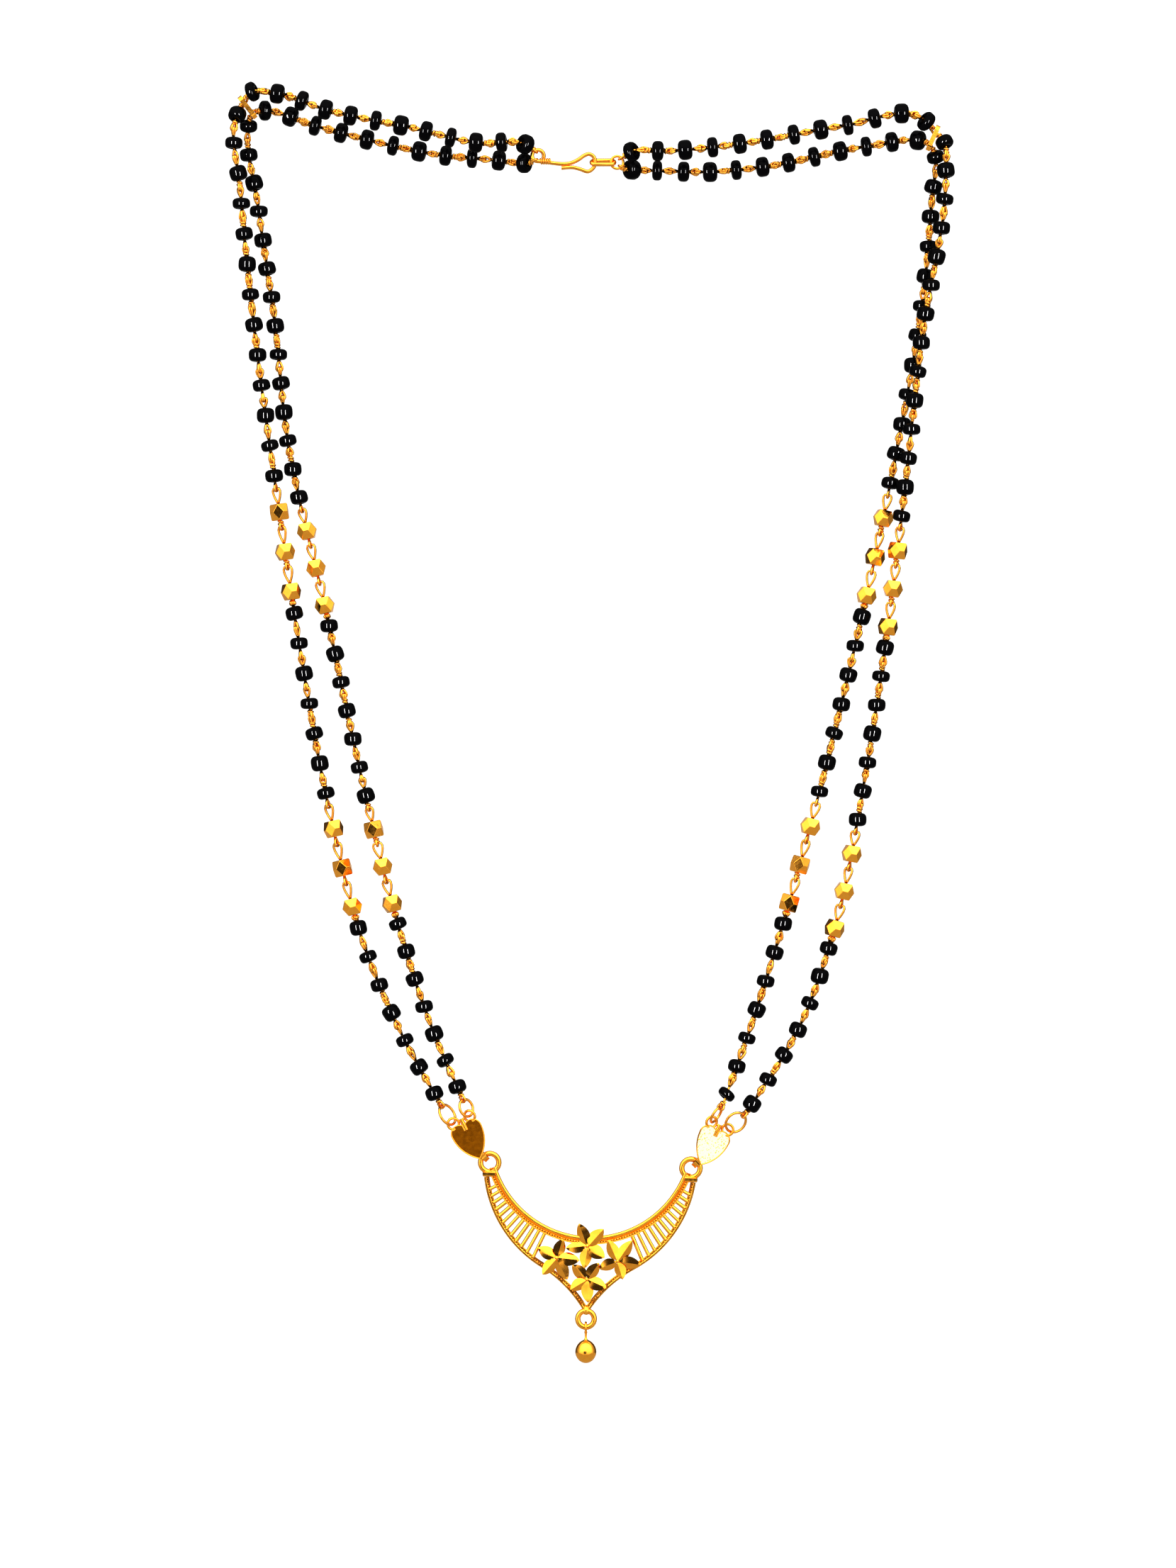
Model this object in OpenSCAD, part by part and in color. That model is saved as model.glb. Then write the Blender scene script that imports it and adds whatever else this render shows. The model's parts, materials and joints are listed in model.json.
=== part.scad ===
// A two-strand necklace of black glass and faceted gold beads, linked with gold wire.
// It hangs open as it does over two pegs: the hook clasp in the middle of the back stretch,
// a tie ring at each bend, and a crescent pendant with a drop at the bottom.
// +X is the viewer's right, +Y points away from the viewer, +Z is up.
// The origin is the underside of the hook, which rests on the nape of the neck.

/* [Strands] */
// Radius of the wire chain that carries the beads, taken as a plain round thread
thread_r = 0.25; // [0.18:0.01:0.32]
// Distance from the centre of an end eye to the middle of the next bead
eye_to_bead = 2.4; // [2.3:0.05:3.2]
// Distance along the thread from a tie ring to the middle of the next bead
tie_to_bead = 2.6; // [2.4:0.05:3.2]
// Depth between the two strands of a pair where they run one behind the other
strand_depth = 3.4; // [3.2:0.1:5]

/* [Black glass beads] */
// Diameter of a bead on the long side strands
side_bead_d = 3.0; // [2.4:0.05:3.2]
// Length of an average side bead along its thread
side_bead_l = 2.35; // [1.8:0.05:2.5]
// Diameter of a bead on the back stretch
back_bead_d = 3.4; // [2.6:0.05:3.6]
// Length of an average back bead along its thread
back_bead_l = 2.2; // [1.7:0.05:2.4]
// Diameter of the hole through every bead, black or gold
bead_hole_d = 1.15; // [0.9:0.05:1.3]

/* [Gold beads] */
// Width of a gold bead across its flat faces
gold_w = 3.0; // [2.6:0.05:3.3]
// Length of a gold bead along its thread
gold_l = 2.75; // [2.3:0.05:3]

/* [Tie rings] */
// Long side of the flat oval ring that gathers two strands
tie_w = 4.6; // [4.2:0.1:5.4]
// Short side of the oval
tie_depth = 1.7; // [1.5:0.05:2.4]
// Height of the ring along the strands
tie_h = 0.75; // [0.5:0.05:1]
// Thickness of the ring's strip
tie_t = 0.3; // [0.2:0.05:0.4]

/* [Clasp] */
// Length of the hook from the start of its shank to its bow
hook_l = 9.7; // [8.5:0.1:12]
// Height of the hook's bow between wire centres
hook_h = 2.95; // [2.7:0.05:3.6]
// Radius of the hook's wire
hook_wire_r = 0.25; // [0.2:0.01:0.3]
// Overall length of the oval link that the hook takes
link_l = 4.4; // [4:0.1:5.4]
// Mean radius of the link's round ends
link_end_r = 0.9; // [0.8:0.05:1.1]
// Radius of the link's wire
link_wire_r = 0.26; // [0.2:0.01:0.3]
// Turn of the link out of the level
link_turn = 20; // [10:1:30]

/* [Hearts and jump rings] */
// Width of a heart plate
heart_w = 5.4; // [4.6:0.1:6]
// Length from the middle of the lobes to the tip
heart_tip = 5.2; // [4.4:0.1:6]
// Thickness of a heart plate
heart_t = 0.5; // [0.35:0.05:0.7]
// Lean of a heart from the vertical
heart_lean = 26; // [18:1:34]
// Turn of the left heart's face away from the viewer, about its long line
left_heart_turn = -8; // [-14:1:0]
// Turn of the right heart's face
right_heart_turn = 12; // [0:1:16]
// Mean radius of the two wire loops at the notch
loop_r = 0.95; // [0.85:0.05:1.2]
// Radius of the wire of the loops and the jump rings
ring_wire_r = 0.22; // [0.18:0.01:0.25]
// Mean radius of the outer jump rings
outer_ring_r = 1.85; // [1.6:0.05:2.2]
// Mean radius of the inner jump rings
inner_ring_r = 1.5; // [1.3:0.05:1.9]
// Free room round a wire that passes through a ring or an eye
wire_clear = 0.12; // [0.08:0.01:0.2]

/* [Pendant] */
// Width of the crescent between the ends of its lower rails
crescent_w = 35; // [30:0.5:40]
// Depth of the low point of the crescent's upper edge below the origin
pendant_drop = 180; // [170:1:190]
// Slant of the pendant as it hangs, its right side lower
pendant_slant = 1.6; // [0:0.1:3]
// Width of the band along its radius
band_w = 1.15; // [0.9:0.05:1.5]
// Thickness of the band from front to back
band_t = 1.3; // [1:0.05:1.8]
// Height of the crescent's ends above the low point of its upper edge
arm_h = 9.6; // [8.5:0.1:10.5]
// Depth of the crescent's point below the same low point
point_drop = 12.6; // [11.5:0.1:14]
// Diameter of the lower rail's wire
rail_d = 0.85; // [0.6:0.05:1]
// Diameter of the rungs between band and rail
rung_d = 0.38; // [0.3:0.02:0.5]
// Number of rungs on each side
rungs = 12; // [6:1:13]
// Mean radius of the rings at the ends of the crescent
end_ring_r = 1.55; // [1.45:0.05:1.8]
// Radius of the wire of the end rings
end_wire_r = 0.36; // [0.3:0.01:0.4]
// Length of the cap under an end ring
cap_w = 2.3; // [2:0.1:2.8]
// Height of the cap
cap_h = 0.85; // [0.6:0.05:1.1]
// Mean radius of the ring at the crescent's point
tip_ring_r = 1.4; // [1.3:0.05:1.6]
// Radius of the wire of the ring at the point
tip_wire_r = 0.38; // [0.3:0.01:0.42]

/* [Drop] */
// Diameter of the ball
ball_d = 3.6; // [3:0.1:4.2]
// Mean radius of the wire loop that hangs on the pendant's ring
drop_loop_r = 0.8; // [0.75:0.05:1]
// Radius of the loop's wire
drop_wire_r = 0.2; // [0.16:0.01:0.24]
// Length of the stem between loop and ball
stem_l = 1.5; // [1:0.1:2.5]

/* [Hidden] */
$fn = 48;
STRANDS = ["left_outer", "left_inner", "right_inner", "right_outer"];
GOLD_EACH = 6;
function gold_name(strand, bead) = str("gold_bead_", STRANDS[strand], "_", bead + 1);

GOLD = "goldenrod";
GLASS = "black";
UP = [0, 0, 1];
AWAY = [0, 1, 0];

// Small helpers on points and directions
function unit(v) = v / norm(v);
function fan(a) = [cos(a), 0, sin(a)];
function slanted(p) = let (a = pendant_slant) [
    p.x * cos(a) + p.z * sin(a),
    p.y,
    -pendant_drop - p.x * sin(a) + p.z * cos(a)
];

// Eyes: each turns freely on the wire that it is bent round, and two on one ring stay clear of
// each other when they stand at the same angle above and below the level
join_spread = 46;
hook_spread = 56;
eye_r = thread_r + max(hook_wire_r, ring_wire_r) + wire_clear;
function ring_for_two_eyes(spread) = eye_r + (2 * thread_r + wire_clear) / (2 * sin(spread));
hook_eye_r = ring_for_two_eyes(hook_spread);
join_ring_r = ring_for_two_eyes(join_spread);

// Clasp: where its parts lie, worked out from the hook.
// The hook's wire is given in shares of hook_l along X and of hook_h along Z,
// from the start of the shank over the bow to the open tip.
HOOK_ALONG = 0;
HOOK_UP = 1;
HOOK_BEND = [
    [-0.88, 0.58],
    [-0.25, 0.55],
    [-0.16, 0.71],
    [-0.07, 0.92],
    [0.01, 1.00],
    [0.08, 0.89],
    [0.12, 0.61],
    [0.09, 0.22],
    [0.00, 0.00],
    [-0.14, 0.13],
    [-0.26, 0.23],
    [-0.47, 0.20]
];
hook_bend_x = 0.12 * hook_l;
hook_route = [for (p = HOOK_BEND) [p[HOOK_ALONG] * hook_l, 0, hook_wire_r + p[HOOK_UP] * hook_h]];
hook_eye = hook_route[0] + [0, 0, hook_eye_r];
hook_eye_sweep = 300;
hook_eye_pitch = 2.3 * hook_wire_r;
// A point of the hook's eye, whose wire winds back from the shank at -90 degrees
function hook_eye_wire(a) = let (share = (-90 - a) / hook_eye_sweep)
    hook_eye + hook_eye_r * fan(a) + [0, hook_eye_pitch * share, 0];
link_left = [hook_bend_x - hook_wire_r - link_wire_r - wire_clear, 0, hook_wire_r + 0.52 * hook_h];
link_span = link_l - 2 * link_wire_r;
link_right = link_left + [link_span, 0, 0];
join_ring = link_right + [join_ring_r - link_wire_r - ring_wire_r - wire_clear, 0, 0];

// Pendant: arcs of the crescent in its own plane, with the low point of its upper edge at the origin
// The upper edge rises from its low point to a point inside the end's cap.
half_w = crescent_w / 2;
band_top_x = half_w - cap_w / 2 - rail_d / 2;
band_top_z = arm_h + 2.1 * cap_h;
band_r = (band_top_x * band_top_x + band_top_z * band_top_z) / (2 * band_top_z);
band_end = atan2(band_top_x, band_r - band_top_z);
band_mid = [0, band_r];
end_lean = 7.8;
point_lean = 31.5;
// The lower rail's belly grows with the crescent's width and height
belly_r = 0.385 * crescent_w + 0.3 * (arm_h + point_drop);
belly_mid = [half_w - belly_r * cos(end_lean), arm_h + belly_r * sin(end_lean)];
point_tip = [0, -point_drop];
flare_dir = [cos(point_lean), -sin(point_lean)];
flare_gap = point_tip - belly_mid;
flare_r = (flare_gap * flare_gap - belly_r * belly_r) / (2 * (belly_r - flare_dir * flare_gap));
flare_mid = point_tip + flare_r * flare_dir;
// Where the rail's two arcs meet, as a point and as an angle seen from the band's middle
rail_joint = belly_mid + belly_r * unit(flare_mid - belly_mid);
joint_angle = atan2(rail_joint.x, band_r - rail_joint.y);
end_ring_x = half_w - 0.2 * cap_w;
end_ring_z = arm_h + cap_h + end_ring_r;
tip_ring_z = -point_drop - tip_ring_r;
hinge_at = 45;
hinge_x = end_ring_x + end_ring_r * cos(hinge_at);
hinge_z = end_ring_z + end_ring_r * sin(hinge_at);
eye_in_r = 0.78;
eye_t = 0.3;
eye_w = 0.9;

// Hearts: the tip lies just outside the hinge of the end ring, and the plate in front of it
heart_gap = 0.2;
heart_back = eye_in_r + eye_t / 2;
heart_tip_out = 0.75;
lobe_r = 0.27 * heart_w;
side_mid = (heart_tip * heart_tip / (heart_w / 2) - heart_w / 2) / 2;
notch_z = heart_tip + sqrt(lobe_r * lobe_r - pow(heart_w / 2 - lobe_r, 2));
loop_x = loop_r + 0.6;
loop_z = notch_z + 1.25;
loop_turn = 14;
function hinge(side) = slanted([side * hinge_x, 0, hinge_z]);
function heart_base(side) = hinge(side) + heart_tip_out * [side * cos(hinge_at), 0, -0.6 * sin(hinge_at)];
function heart_turn(side) = side < 0 ? left_heart_turn : right_heart_turn;
function heart_point(side, p) = let (a = side * heart_lean, t = heart_turn(side), x = p.x * cos(t))
    heart_base(side) + [
        x * cos(a) + p.z * sin(a),
        p.y + p.x * sin(t),
        -x * sin(a) + p.z * cos(a)
    ];

// Jump rings: one for each strand, with its side, the loop that it hangs on, its mean radius,
// the way that it points and how far it is turned out of the view
SIDE = 0;
LOOP = 1;
RING_R = 2;
POINTS = 3;
TURN = 4;
JUMP_RINGS = [
    [-1, -1, outer_ring_r, 123, 56],
    [-1, 1, inner_ring_r, 112, 46],
    [1, -1, inner_ring_r, 58, 68],
    [1, 1, outer_ring_r, 42, 34]
];
loop_front = -heart_back - heart_t / 2;
function loop_mid(s) = let (j = JUMP_RINGS[s])
    heart_point(j[SIDE], [j[LOOP] * loop_x, loop_front, loop_z]);
function ring_dir(s) = fan(JUMP_RINGS[s][POINTS]);
function ring_mid(s) = loop_mid(s) + JUMP_RINGS[s][RING_R] * ring_dir(s);
function ring_far(s) = loop_mid(s) + 2 * JUMP_RINGS[s][RING_R] * ring_dir(s);

// Routes of the four strands, chosen by hand, each from the clasp over the tie ring to its jump ring.
// The numbers are X and Z in millimetres, and the share of half the strand depth that the
// strand lies in front of or behind the middle. Its first and last points are worked out.
FRONT = -1;
BEHIND = 1;
STRAND_ROUTES = [
    [
        [-11.8, 5, 1], [-17, 4.8, 1], [-30.5, 7.6, 1], [-44, 10.4, 1], [-52.5, 13.2, 0.8],
        [-57, 13.5, 0.7], [-58.4, 12, 0], [-59.6, 9, 0.7],
        [-58.8, -3, 1], [-56.2, -28.5, 1], [-52.8, -53.5, 0.8], [-48.7, -81, 0.4],
        [-43.6, -109, 0], [-37.7, -131.5, 0], [-31, -147, 0]
    ],
    [
        [-12, 1.9, 1], [-16, 2.4, 1], [-25, 3.2, 1], [-34, 5, 1], [-46.5, 8.2, 0.8],
        [-55, 10.7, 0.7], [-57, 10.2, 0], [-57.6, 8.2, 0.7],
        [-56, -5.5, 1], [-53.2, -25, 1], [-51, -45, 0.8], [-44.6, -73.5, 0.4],
        [-38, -104, 0], [-32, -128, 0], [-25.6, -147, 0]
    ],
    [
        [8.3, 0.7, 1], [11.5, 0.6, 1], [21, 0.4, 1], [29.5, 1.2, 1], [47.5, 4.7, 0.8],
        [56.2, 5.6, 0.7], [57.9, 4.9, 0], [58.9, 2.6, 0.7],
        [58.4, -3, 1], [57.2, -17, 1], [51, -53.4, 0.8], [44.8, -81.7, 0.4],
        [38.6, -106.7, 0], [33, -127, 0], [25.6, -150, 0]
    ],
    [
        [8.2, 3.7, 1], [11.5, 3.5, 1], [20.4, 4.1, 1], [30, 5.4, 1], [43, 7.8, 0.8],
        [56.6, 9, 0.7], [58.8, 6.9, 0], [60.2, 5, 0.7],
        [60.4, 0.5, 1], [56.3, -28.5, 1], [53.5, -53.5, 0.8], [50.3, -79.5, 0.4],
        [46.2, -106, 0], [42.2, -126, 0], [35.3, -145.4, 0]
    ]
];
STRAND_SIDE = [FRONT, BEHIND, BEHIND, FRONT];
TIE_POINT = 7;

// The eye at the clasp's end of each strand, round the wire of the hook's eye or of the clasp ring
CLASP_ANGLES = [-180 - hook_spread, -180 + hook_spread, -join_spread, join_spread];
function clasp_out(s) = fan(CLASP_ANGLES[s]);
function clasp_eye(s) = s < 2
    ? hook_eye_wire(CLASP_ANGLES[s])
    : join_ring + join_ring_r * clasp_out(s);

function mid_route(s) = [for (p = STRAND_ROUTES[s]) [p[0], STRAND_SIDE[s] * p[2] * strand_depth / 2, p[1]]];
function strand_points(s) = concat(
    [clasp_eye(s) + eye_r * clasp_out(s)],
    mid_route(s),
    [ring_far(s) + eye_r * ring_dir(s)]
);

// A smooth curve through unevenly spaced points, with closer steps where it bends
least_steps = 2;
bend_step = 5;
function gap(p, i) = norm(p[i + 1] - p[i]);
function way(p, i) = (p[i + 1] - p[i]) / gap(p, i);
function slope(p, i) =
    i == 0 ? way(p, 0) :
    i == len(p) - 1 ? way(p, i - 1) :
    (way(p, i - 1) * gap(p, i) + way(p, i) * gap(p, i - 1)) / (gap(p, i - 1) + gap(p, i));
function between(p, i, t) = let (d = gap(p, i), a = t * t * (3 - 2 * t))
    p[i] * (1 - a) + p[i + 1] * a
    + slope(p, i) * d * t * (1 - t) * (1 - t)
    - slope(p, i + 1) * d * t * t * (1 - t);
function bend(p, i) = acos(min(1, unit(slope(p, i)) * unit(slope(p, i + 1))));
function curve(p, first, last, step) = [
    for (i = [first:last - 1])
        let (m = max(least_steps, ceil(gap(p, i) / step), ceil(bend(p, i) / bend_step)))
        for (j = [0:m - 1]) between(p, i, j / m),
    p[last]
];

// Distance along a curve's points, and the place and direction at a distance
function distances(c) = [for (i = 0, d = 0; i < len(c);
    d = i + 1 < len(c) ? d + norm(c[i + 1] - c[i]) : d, i = i + 1) d];
function place_at(c, d, x) = [for (k = [0:2]) lookup(x, [for (i = [0:len(c) - 1]) [d[i], c[i][k]]])];
function heading_at(c, d, x) = unit(place_at(c, d, x + 0.4) - place_at(c, d, x - 0.4));

// A round eye that closes the end of a thread round a ring's wire. It lies in the plane of
// the thread's own direction and of across, and stays open by a short gap.
eye_steps = 11;
eye_sweep = 300;
function end_eye(centre, out, across) = let (u = unit(out), v = unit(across - (across * u) * u)) [
    for (i = [1:eye_steps]) let (a = i * eye_sweep / eye_steps) centre + eye_r * (u * cos(a) + v * sin(a))
];
function clasp_eye_loop(s) = end_eye(clasp_eye(s), clasp_out(s), AWAY);
function ring_eye_loop(s) = let (
        t = JUMP_RINGS[s][TURN],
        d = ring_dir(s),
        wire = cos(t) * cross(AWAY, d) + sin(t) * AWAY
    ) end_eye(ring_far(s), d, cross(wire, d));
function backwards(p) = [for (i = [len(p) - 1:-1:0]) p[i]];

thread_step = 3;
bead_step = 0.6;
function last(s) = len(strand_points(s)) - 1;
function back_curve(s, step) = curve(strand_points(s), 0, TIE_POINT, step);
function side_curve(s, step) = curve(strand_points(s), TIE_POINT, last(s), step);

// Beads: counts on each strand, and the shares of the usual pitch between unlike neighbours
BACK_BEADS = [12, 11, 12, 12];
FIRST_RUN = [13, 14, 12, 14];
LATER_RUN = 7;
GOLD_RUN = 3;
BLACK_TO_GOLD = 1.2;
GOLD_TO_GOLD = 1.32;
GOLD_TO_BLACK = 0.72;
// Lengths of the hand-made black beads, in shares of the average, taken in turn
BEAD_LENGTHS = [1, 0.86, 1.1, 0.8, 0.94, 1.14, 0.84, 1.04];
function black_l(i, average) = BEAD_LENGTHS[i % len(BEAD_LENGTHS)] * average;
// Tilts of the side beads on their wire, in the plane of the necklace, taken in turn
BEAD_TILTS = [2, -4, 5, -1, 3, -5, 0, 4, -3];
function tilted(dir, i) = let (a = BEAD_TILTS[i % len(BEAD_TILTS)])
    [dir.x * cos(a) - dir.z * sin(a), dir.y, dir.x * sin(a) + dir.z * cos(a)];

// 0 for a black bead and 1 for a gold one, from the tie ring down
function kinds(s) = [
    for (i = [1:FIRST_RUN[s]]) 0,
    for (i = [1:GOLD_RUN]) 1,
    for (i = [1:LATER_RUN]) 0,
    for (i = [1:GOLD_RUN]) 1,
    for (i = [1:LATER_RUN]) 0
];
function pitch_share(a, b) = a == 0
    ? (b == 0 ? 1 : BLACK_TO_GOLD)
    : (b == 0 ? GOLD_TO_BLACK : GOLD_TO_GOLD);
function shares(k) = [for (i = 0, d = 0; i < len(k);
    d = i + 1 < len(k) ? d + pitch_share(k[i], k[i + 1]) : d, i = i + 1) d];
function spread(total, head, tail, steps) = let (n = steps[len(steps) - 1])
    [for (x = steps) head + (total - head - tail) * x / n];

// Stands a piece that is modelled along Z at a point, along a direction
module stand(at, dir, roll = 0) {
    translate(at)
        rotate([0, acos(dir.z), atan2(dir.y, dir.x)])
            rotate([0, 0, roll])
                children();
}

// A glass bead: a short barrel with a hole, whose ends turn softly into its wall
module black_bead(d, l) {
    soft_r = 0.4 * l;
    hole_r = bead_hole_d / 2;
    rotate_extrude()
        intersection() {
            union() {
                for (end = [-1, 1])
                    translate([d / 2 - soft_r, end * (l / 2 - soft_r)])
                        circle(r = soft_r);
                translate([0, soft_r - l / 2])
                    square([d / 2, l - 2 * soft_r]);
                translate([0, -l / 2])
                    square([d / 2 - soft_r, l]);
            }
            translate([hole_r, -l / 2])
                square([d, l]);
        }
}

// One slab whose two faces cut four of the gold bead's corner faces
GOLD_DIAMOND_W = 0.6;
GOLD_DIAMOND_H = 0.89;
module corner_slab(turn) {
    x = gold_w / 2;
    z = GOLD_DIAMOND_H * gold_l / 2;
    slope_z = GOLD_DIAMOND_W * x / z;
    reach = x * (1 + GOLD_DIAMOND_W) / norm([1, 1, slope_z]);
    rotate([0, 0, turn])
        rotate([0, -atan(slope_z / sqrt(2)), 0])
            cube([2 * reach, 4 * gold_w, 4 * gold_w], center = true);
}

// A gold bead: a cube with cut corners, so that each side shows an upright diamond
module gold_bead() {
    difference() {
        intersection() {
            cube([gold_w, gold_w, gold_l], center = true);
            corner_slab(45);
            corner_slab(135);
            corner_slab(225);
            corner_slab(315);
        }
        cylinder(h = 2 * gold_l, d = bead_hole_d, center = true);
    }
}

// A round wire along a line of points, with the turn of its rings carried along.
// An end face may be given the direction that it looks along.
module wire(p, r, sides, first_dir = undef, last_dir = undef) {
    n = len(p);
    dirs = [for (i = [0:n - 1])
        i == 0 && first_dir != undef ? first_dir :
        i == n - 1 && last_dir != undef ? last_dir :
        unit(p[min(i + 1, n - 1)] - p[max(i - 1, 0)])];
    start = abs(dirs[0].y) > 0.8 ? UP : AWAY;
    norms = [for (i = 0, u = unit(start - (start * dirs[0]) * dirs[0]); i < n;
        i = i + 1, u = i < n ? unit(u - (u * dirs[i]) * dirs[i]) : u) u];
    dots = [for (i = [0:n - 1]) let (u = norms[i], v = cross(dirs[i], u))
        for (j = [0:sides - 1]) let (a = 360 * j / sides) p[i] + r * (u * cos(a) + v * sin(a))];
    walls = [for (i = [0:n - 2], j = [0:sides - 1])
        let (a = i * sides + j, b = i * sides + (j + 1) % sides)
        each [[a, a + sides, b], [b, a + sides, b + sides]]];
    head = [for (j = [1:sides - 2]) [0, j, j + 1]];
    foot = [for (j = [1:sides - 2]) let (o = (n - 1) * sides) [o, o + j + 1, o + j]];
    polyhedron(points = dots, faces = concat(head, walls, foot), convexity = 6);
}

// A plain round ring in the XZ plane
module ring(mean_r, wire_r) {
    rotate([90, 0, 0])
        rotate_extrude()
            translate([mean_r, 0])
                circle(r = wire_r, $fn = 24);
}

// Threads: from the clasp to the tie ring, and from the tie ring to the jump ring
THREAD_SIDES = 8;
function tie_dir(s) = slope(strand_points(s), TIE_POINT);
module back_thread(s) {
    line = concat(backwards(clasp_eye_loop(s)), back_curve(s, thread_step));
    color(GOLD)
        wire(line, thread_r, THREAD_SIDES, last_dir = unit(tie_dir(s)));
}

module side_thread(s) {
    line = concat(side_curve(s, thread_step), ring_eye_loop(s));
    color(GOLD)
        wire(line, thread_r, THREAD_SIDES, first_dir = unit(tie_dir(s)));
}

// Strings of black beads on the back stretch and on the sides
module back_beads(s) {
    c = back_curve(s, bead_step);
    d = distances(c);
    n = BACK_BEADS[s];
    at = spread(d[len(d) - 1], eye_to_bead - eye_r, tie_to_bead, [for (i = [0:n - 1]) i]);
    color(GLASS)
        for (i = [0:n - 1])
            stand(place_at(c, d, at[i]), heading_at(c, d, at[i]))
                black_bead(back_bead_d, black_l(i + s, back_bead_l));
}

function side_places(s, total) = spread(total, tie_to_bead, eye_to_bead - eye_r, shares(kinds(s)));
module side_beads(s) {
    c = side_curve(s, bead_step);
    d = distances(c);
    k = kinds(s);
    at = side_places(s, d[len(d) - 1]);
    color(GLASS)
        for (i = [0:len(k) - 1])
            if (k[i] == 0)
                stand(place_at(c, d, at[i]), tilted(heading_at(c, d, at[i]), i + 2 * s))
                    black_bead(side_bead_d, black_l(i + 3 * s, side_bead_l));
}

// Gold beads, each turned its own way about its thread
GOLD_ROLLS = [
    [12, 40, 32, 20, 5, 38],
    [42, 36, 44, 8, 40, 30],
    [40, 32, 42, 36, 10, 4],
    [6, 28, 14, 34, 40, 24]
];
module placed_gold_bead(s, b) {
    c = side_curve(s, bead_step);
    d = distances(c);
    k = kinds(s);
    at = side_places(s, d[len(d) - 1]);
    golds = [for (i = [0:len(k) - 1]) if (k[i] == 1) at[i]];
    color(GOLD)
        stand(place_at(c, d, golds[b]), heading_at(c, d, golds[b]), GOLD_ROLLS[s][b])
            gold_bead();
}

// Tie rings: a flat strip bent to an oval round both threads of a pair
module tie_ring(outer, inner) {
    a = strand_points(outer)[TIE_POINT];
    b = strand_points(inner)[TIE_POINT];
    along = unit(b - a);
    color(GOLD)
        translate((a + b) / 2)
            rotate([0, atan2(-along.z, along.x), 0])
                difference() {
                    oval(tie_w, tie_depth, tie_h);
                    oval(tie_w - 2 * tie_t, tie_depth - 2 * tie_t, 2 * tie_h);
                }
}

module oval(w, d, h) {
    for (side = [-1, 1])
        translate([side * (w - d) / 2, 0, 0])
            cylinder(h = h, d = d, center = true);
    cube([w - d, d, h], center = true);
}

// Hook clasp: an eye wound from the start of the shank, then the shank, the bow and the tip
module clasp_hook() {
    steps = 12;
    eye = [for (i = [0:steps - 1]) hook_eye_wire(-90 - hook_eye_sweep * (1 - i / steps))];
    n = len(hook_route) - 1;
    color(GOLD)
        wire(concat(eye, curve(hook_route, 0, n, 0.7)), hook_wire_r, 10);
}

// Oval link in the hook's bow, nearly level
module clasp_link() {
    straight = link_span - 2 * link_end_r;
    color(GOLD)
        translate(link_left + [link_end_r, 0, 0])
            rotate([link_turn, 0, 0]) {
                for (end = [0, 1])
                    translate([end * straight, 0, 0])
                        rotate([0, 0, end == 0 ? 90 : -90])
                            rotate_extrude(angle = 180)
                                translate([link_end_r, 0])
                                    circle(r = link_wire_r, $fn = 24);
                for (side = [-1, 1])
                    translate([0, side * link_end_r, 0])
                        rotate([0, 90, 0])
                            cylinder(h = straight, r = link_wire_r, $fn = 24);
            }
}

// Ring that gathers the two right strands on the link
module clasp_ring() {
    color(GOLD)
        translate(join_ring)
            ring(join_ring_r, ring_wire_r);
}

// Jump ring between a heart's loop and a strand, turned about its own long line
module jump_ring(s) {
    color(GOLD)
        translate(ring_mid(s))
            rotate([0, -JUMP_RINGS[s][POINTS], 0])
                rotate([JUMP_RINGS[s][TURN], 0, 0])
                    ring(JUMP_RINGS[s][RING_R], ring_wire_r);
}

// Outline of a heart with its tip at the origin
module heart_outline() {
    lobe_x = heart_w / 2 - lobe_r;
    side_r = side_mid + heart_w / 2;
    translate([0, heart_tip]) {
        for (side = [-1, 1])
            translate([side * lobe_x, 0])
                circle(r = lobe_r);
        intersection() {
            translate([-side_mid, 0])
                circle(r = side_r, $fn = 96);
            translate([side_mid, 0])
                circle(r = side_r, $fn = 96);
            translate([-heart_w, -2 * heart_tip])
                square([2 * heart_w, 2 * heart_tip]);
        }
    }
}

// Heart plate with two wire loops on a short stem, and a flat eye that holds the pendant's end ring
module heart(side) {
    color(GOLD) {
        translate(heart_base(side))
            rotate([0, side * heart_lean, 0]) {
                translate([0, loop_front, 0]) rotate([0, 0, heart_turn(side)]) {
                    translate([0, heart_t / 2, 0])
                        rotate([90, 0, 0])
                            linear_extrude(height = heart_t)
                                heart_outline();
                    for (part = [-1, 1])
                        translate([part * loop_x, 0, loop_z])
                            rotate([0, 0, -part * loop_turn])
                                ring(loop_r, ring_wire_r);
                    translate([0, 0, notch_z - 0.6])
                        cylinder(h = loop_z - notch_z + 0.8, r = heart_t / 2 + 0.12);
                    translate([0, 0, loop_z])
                        rotate([0, 90, 0])
                            cylinder(h = 2 * (loop_x - loop_r), r = ring_wire_r, center = true);
                }
            }
        translate(hinge(side))
            rotate([0, -hinge_at * side - (side > 0 ? 0 : 180), 0])
                holding_eye();
    }
}

// Flat strip bent round the pendant's end ring. Its local X points out of that ring.
module holding_eye() {
    difference() {
        union() {
            cylinder(h = eye_w, r = eye_in_r + eye_t, center = true);
            translate([0, -heart_back - heart_t / 2, -eye_w / 2])
                cube([2.2, heart_t / 2 + eye_t / 2, eye_w]);
        }
        cylinder(h = 2 * eye_w, r = eye_in_r, center = true);
    }
}

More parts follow.
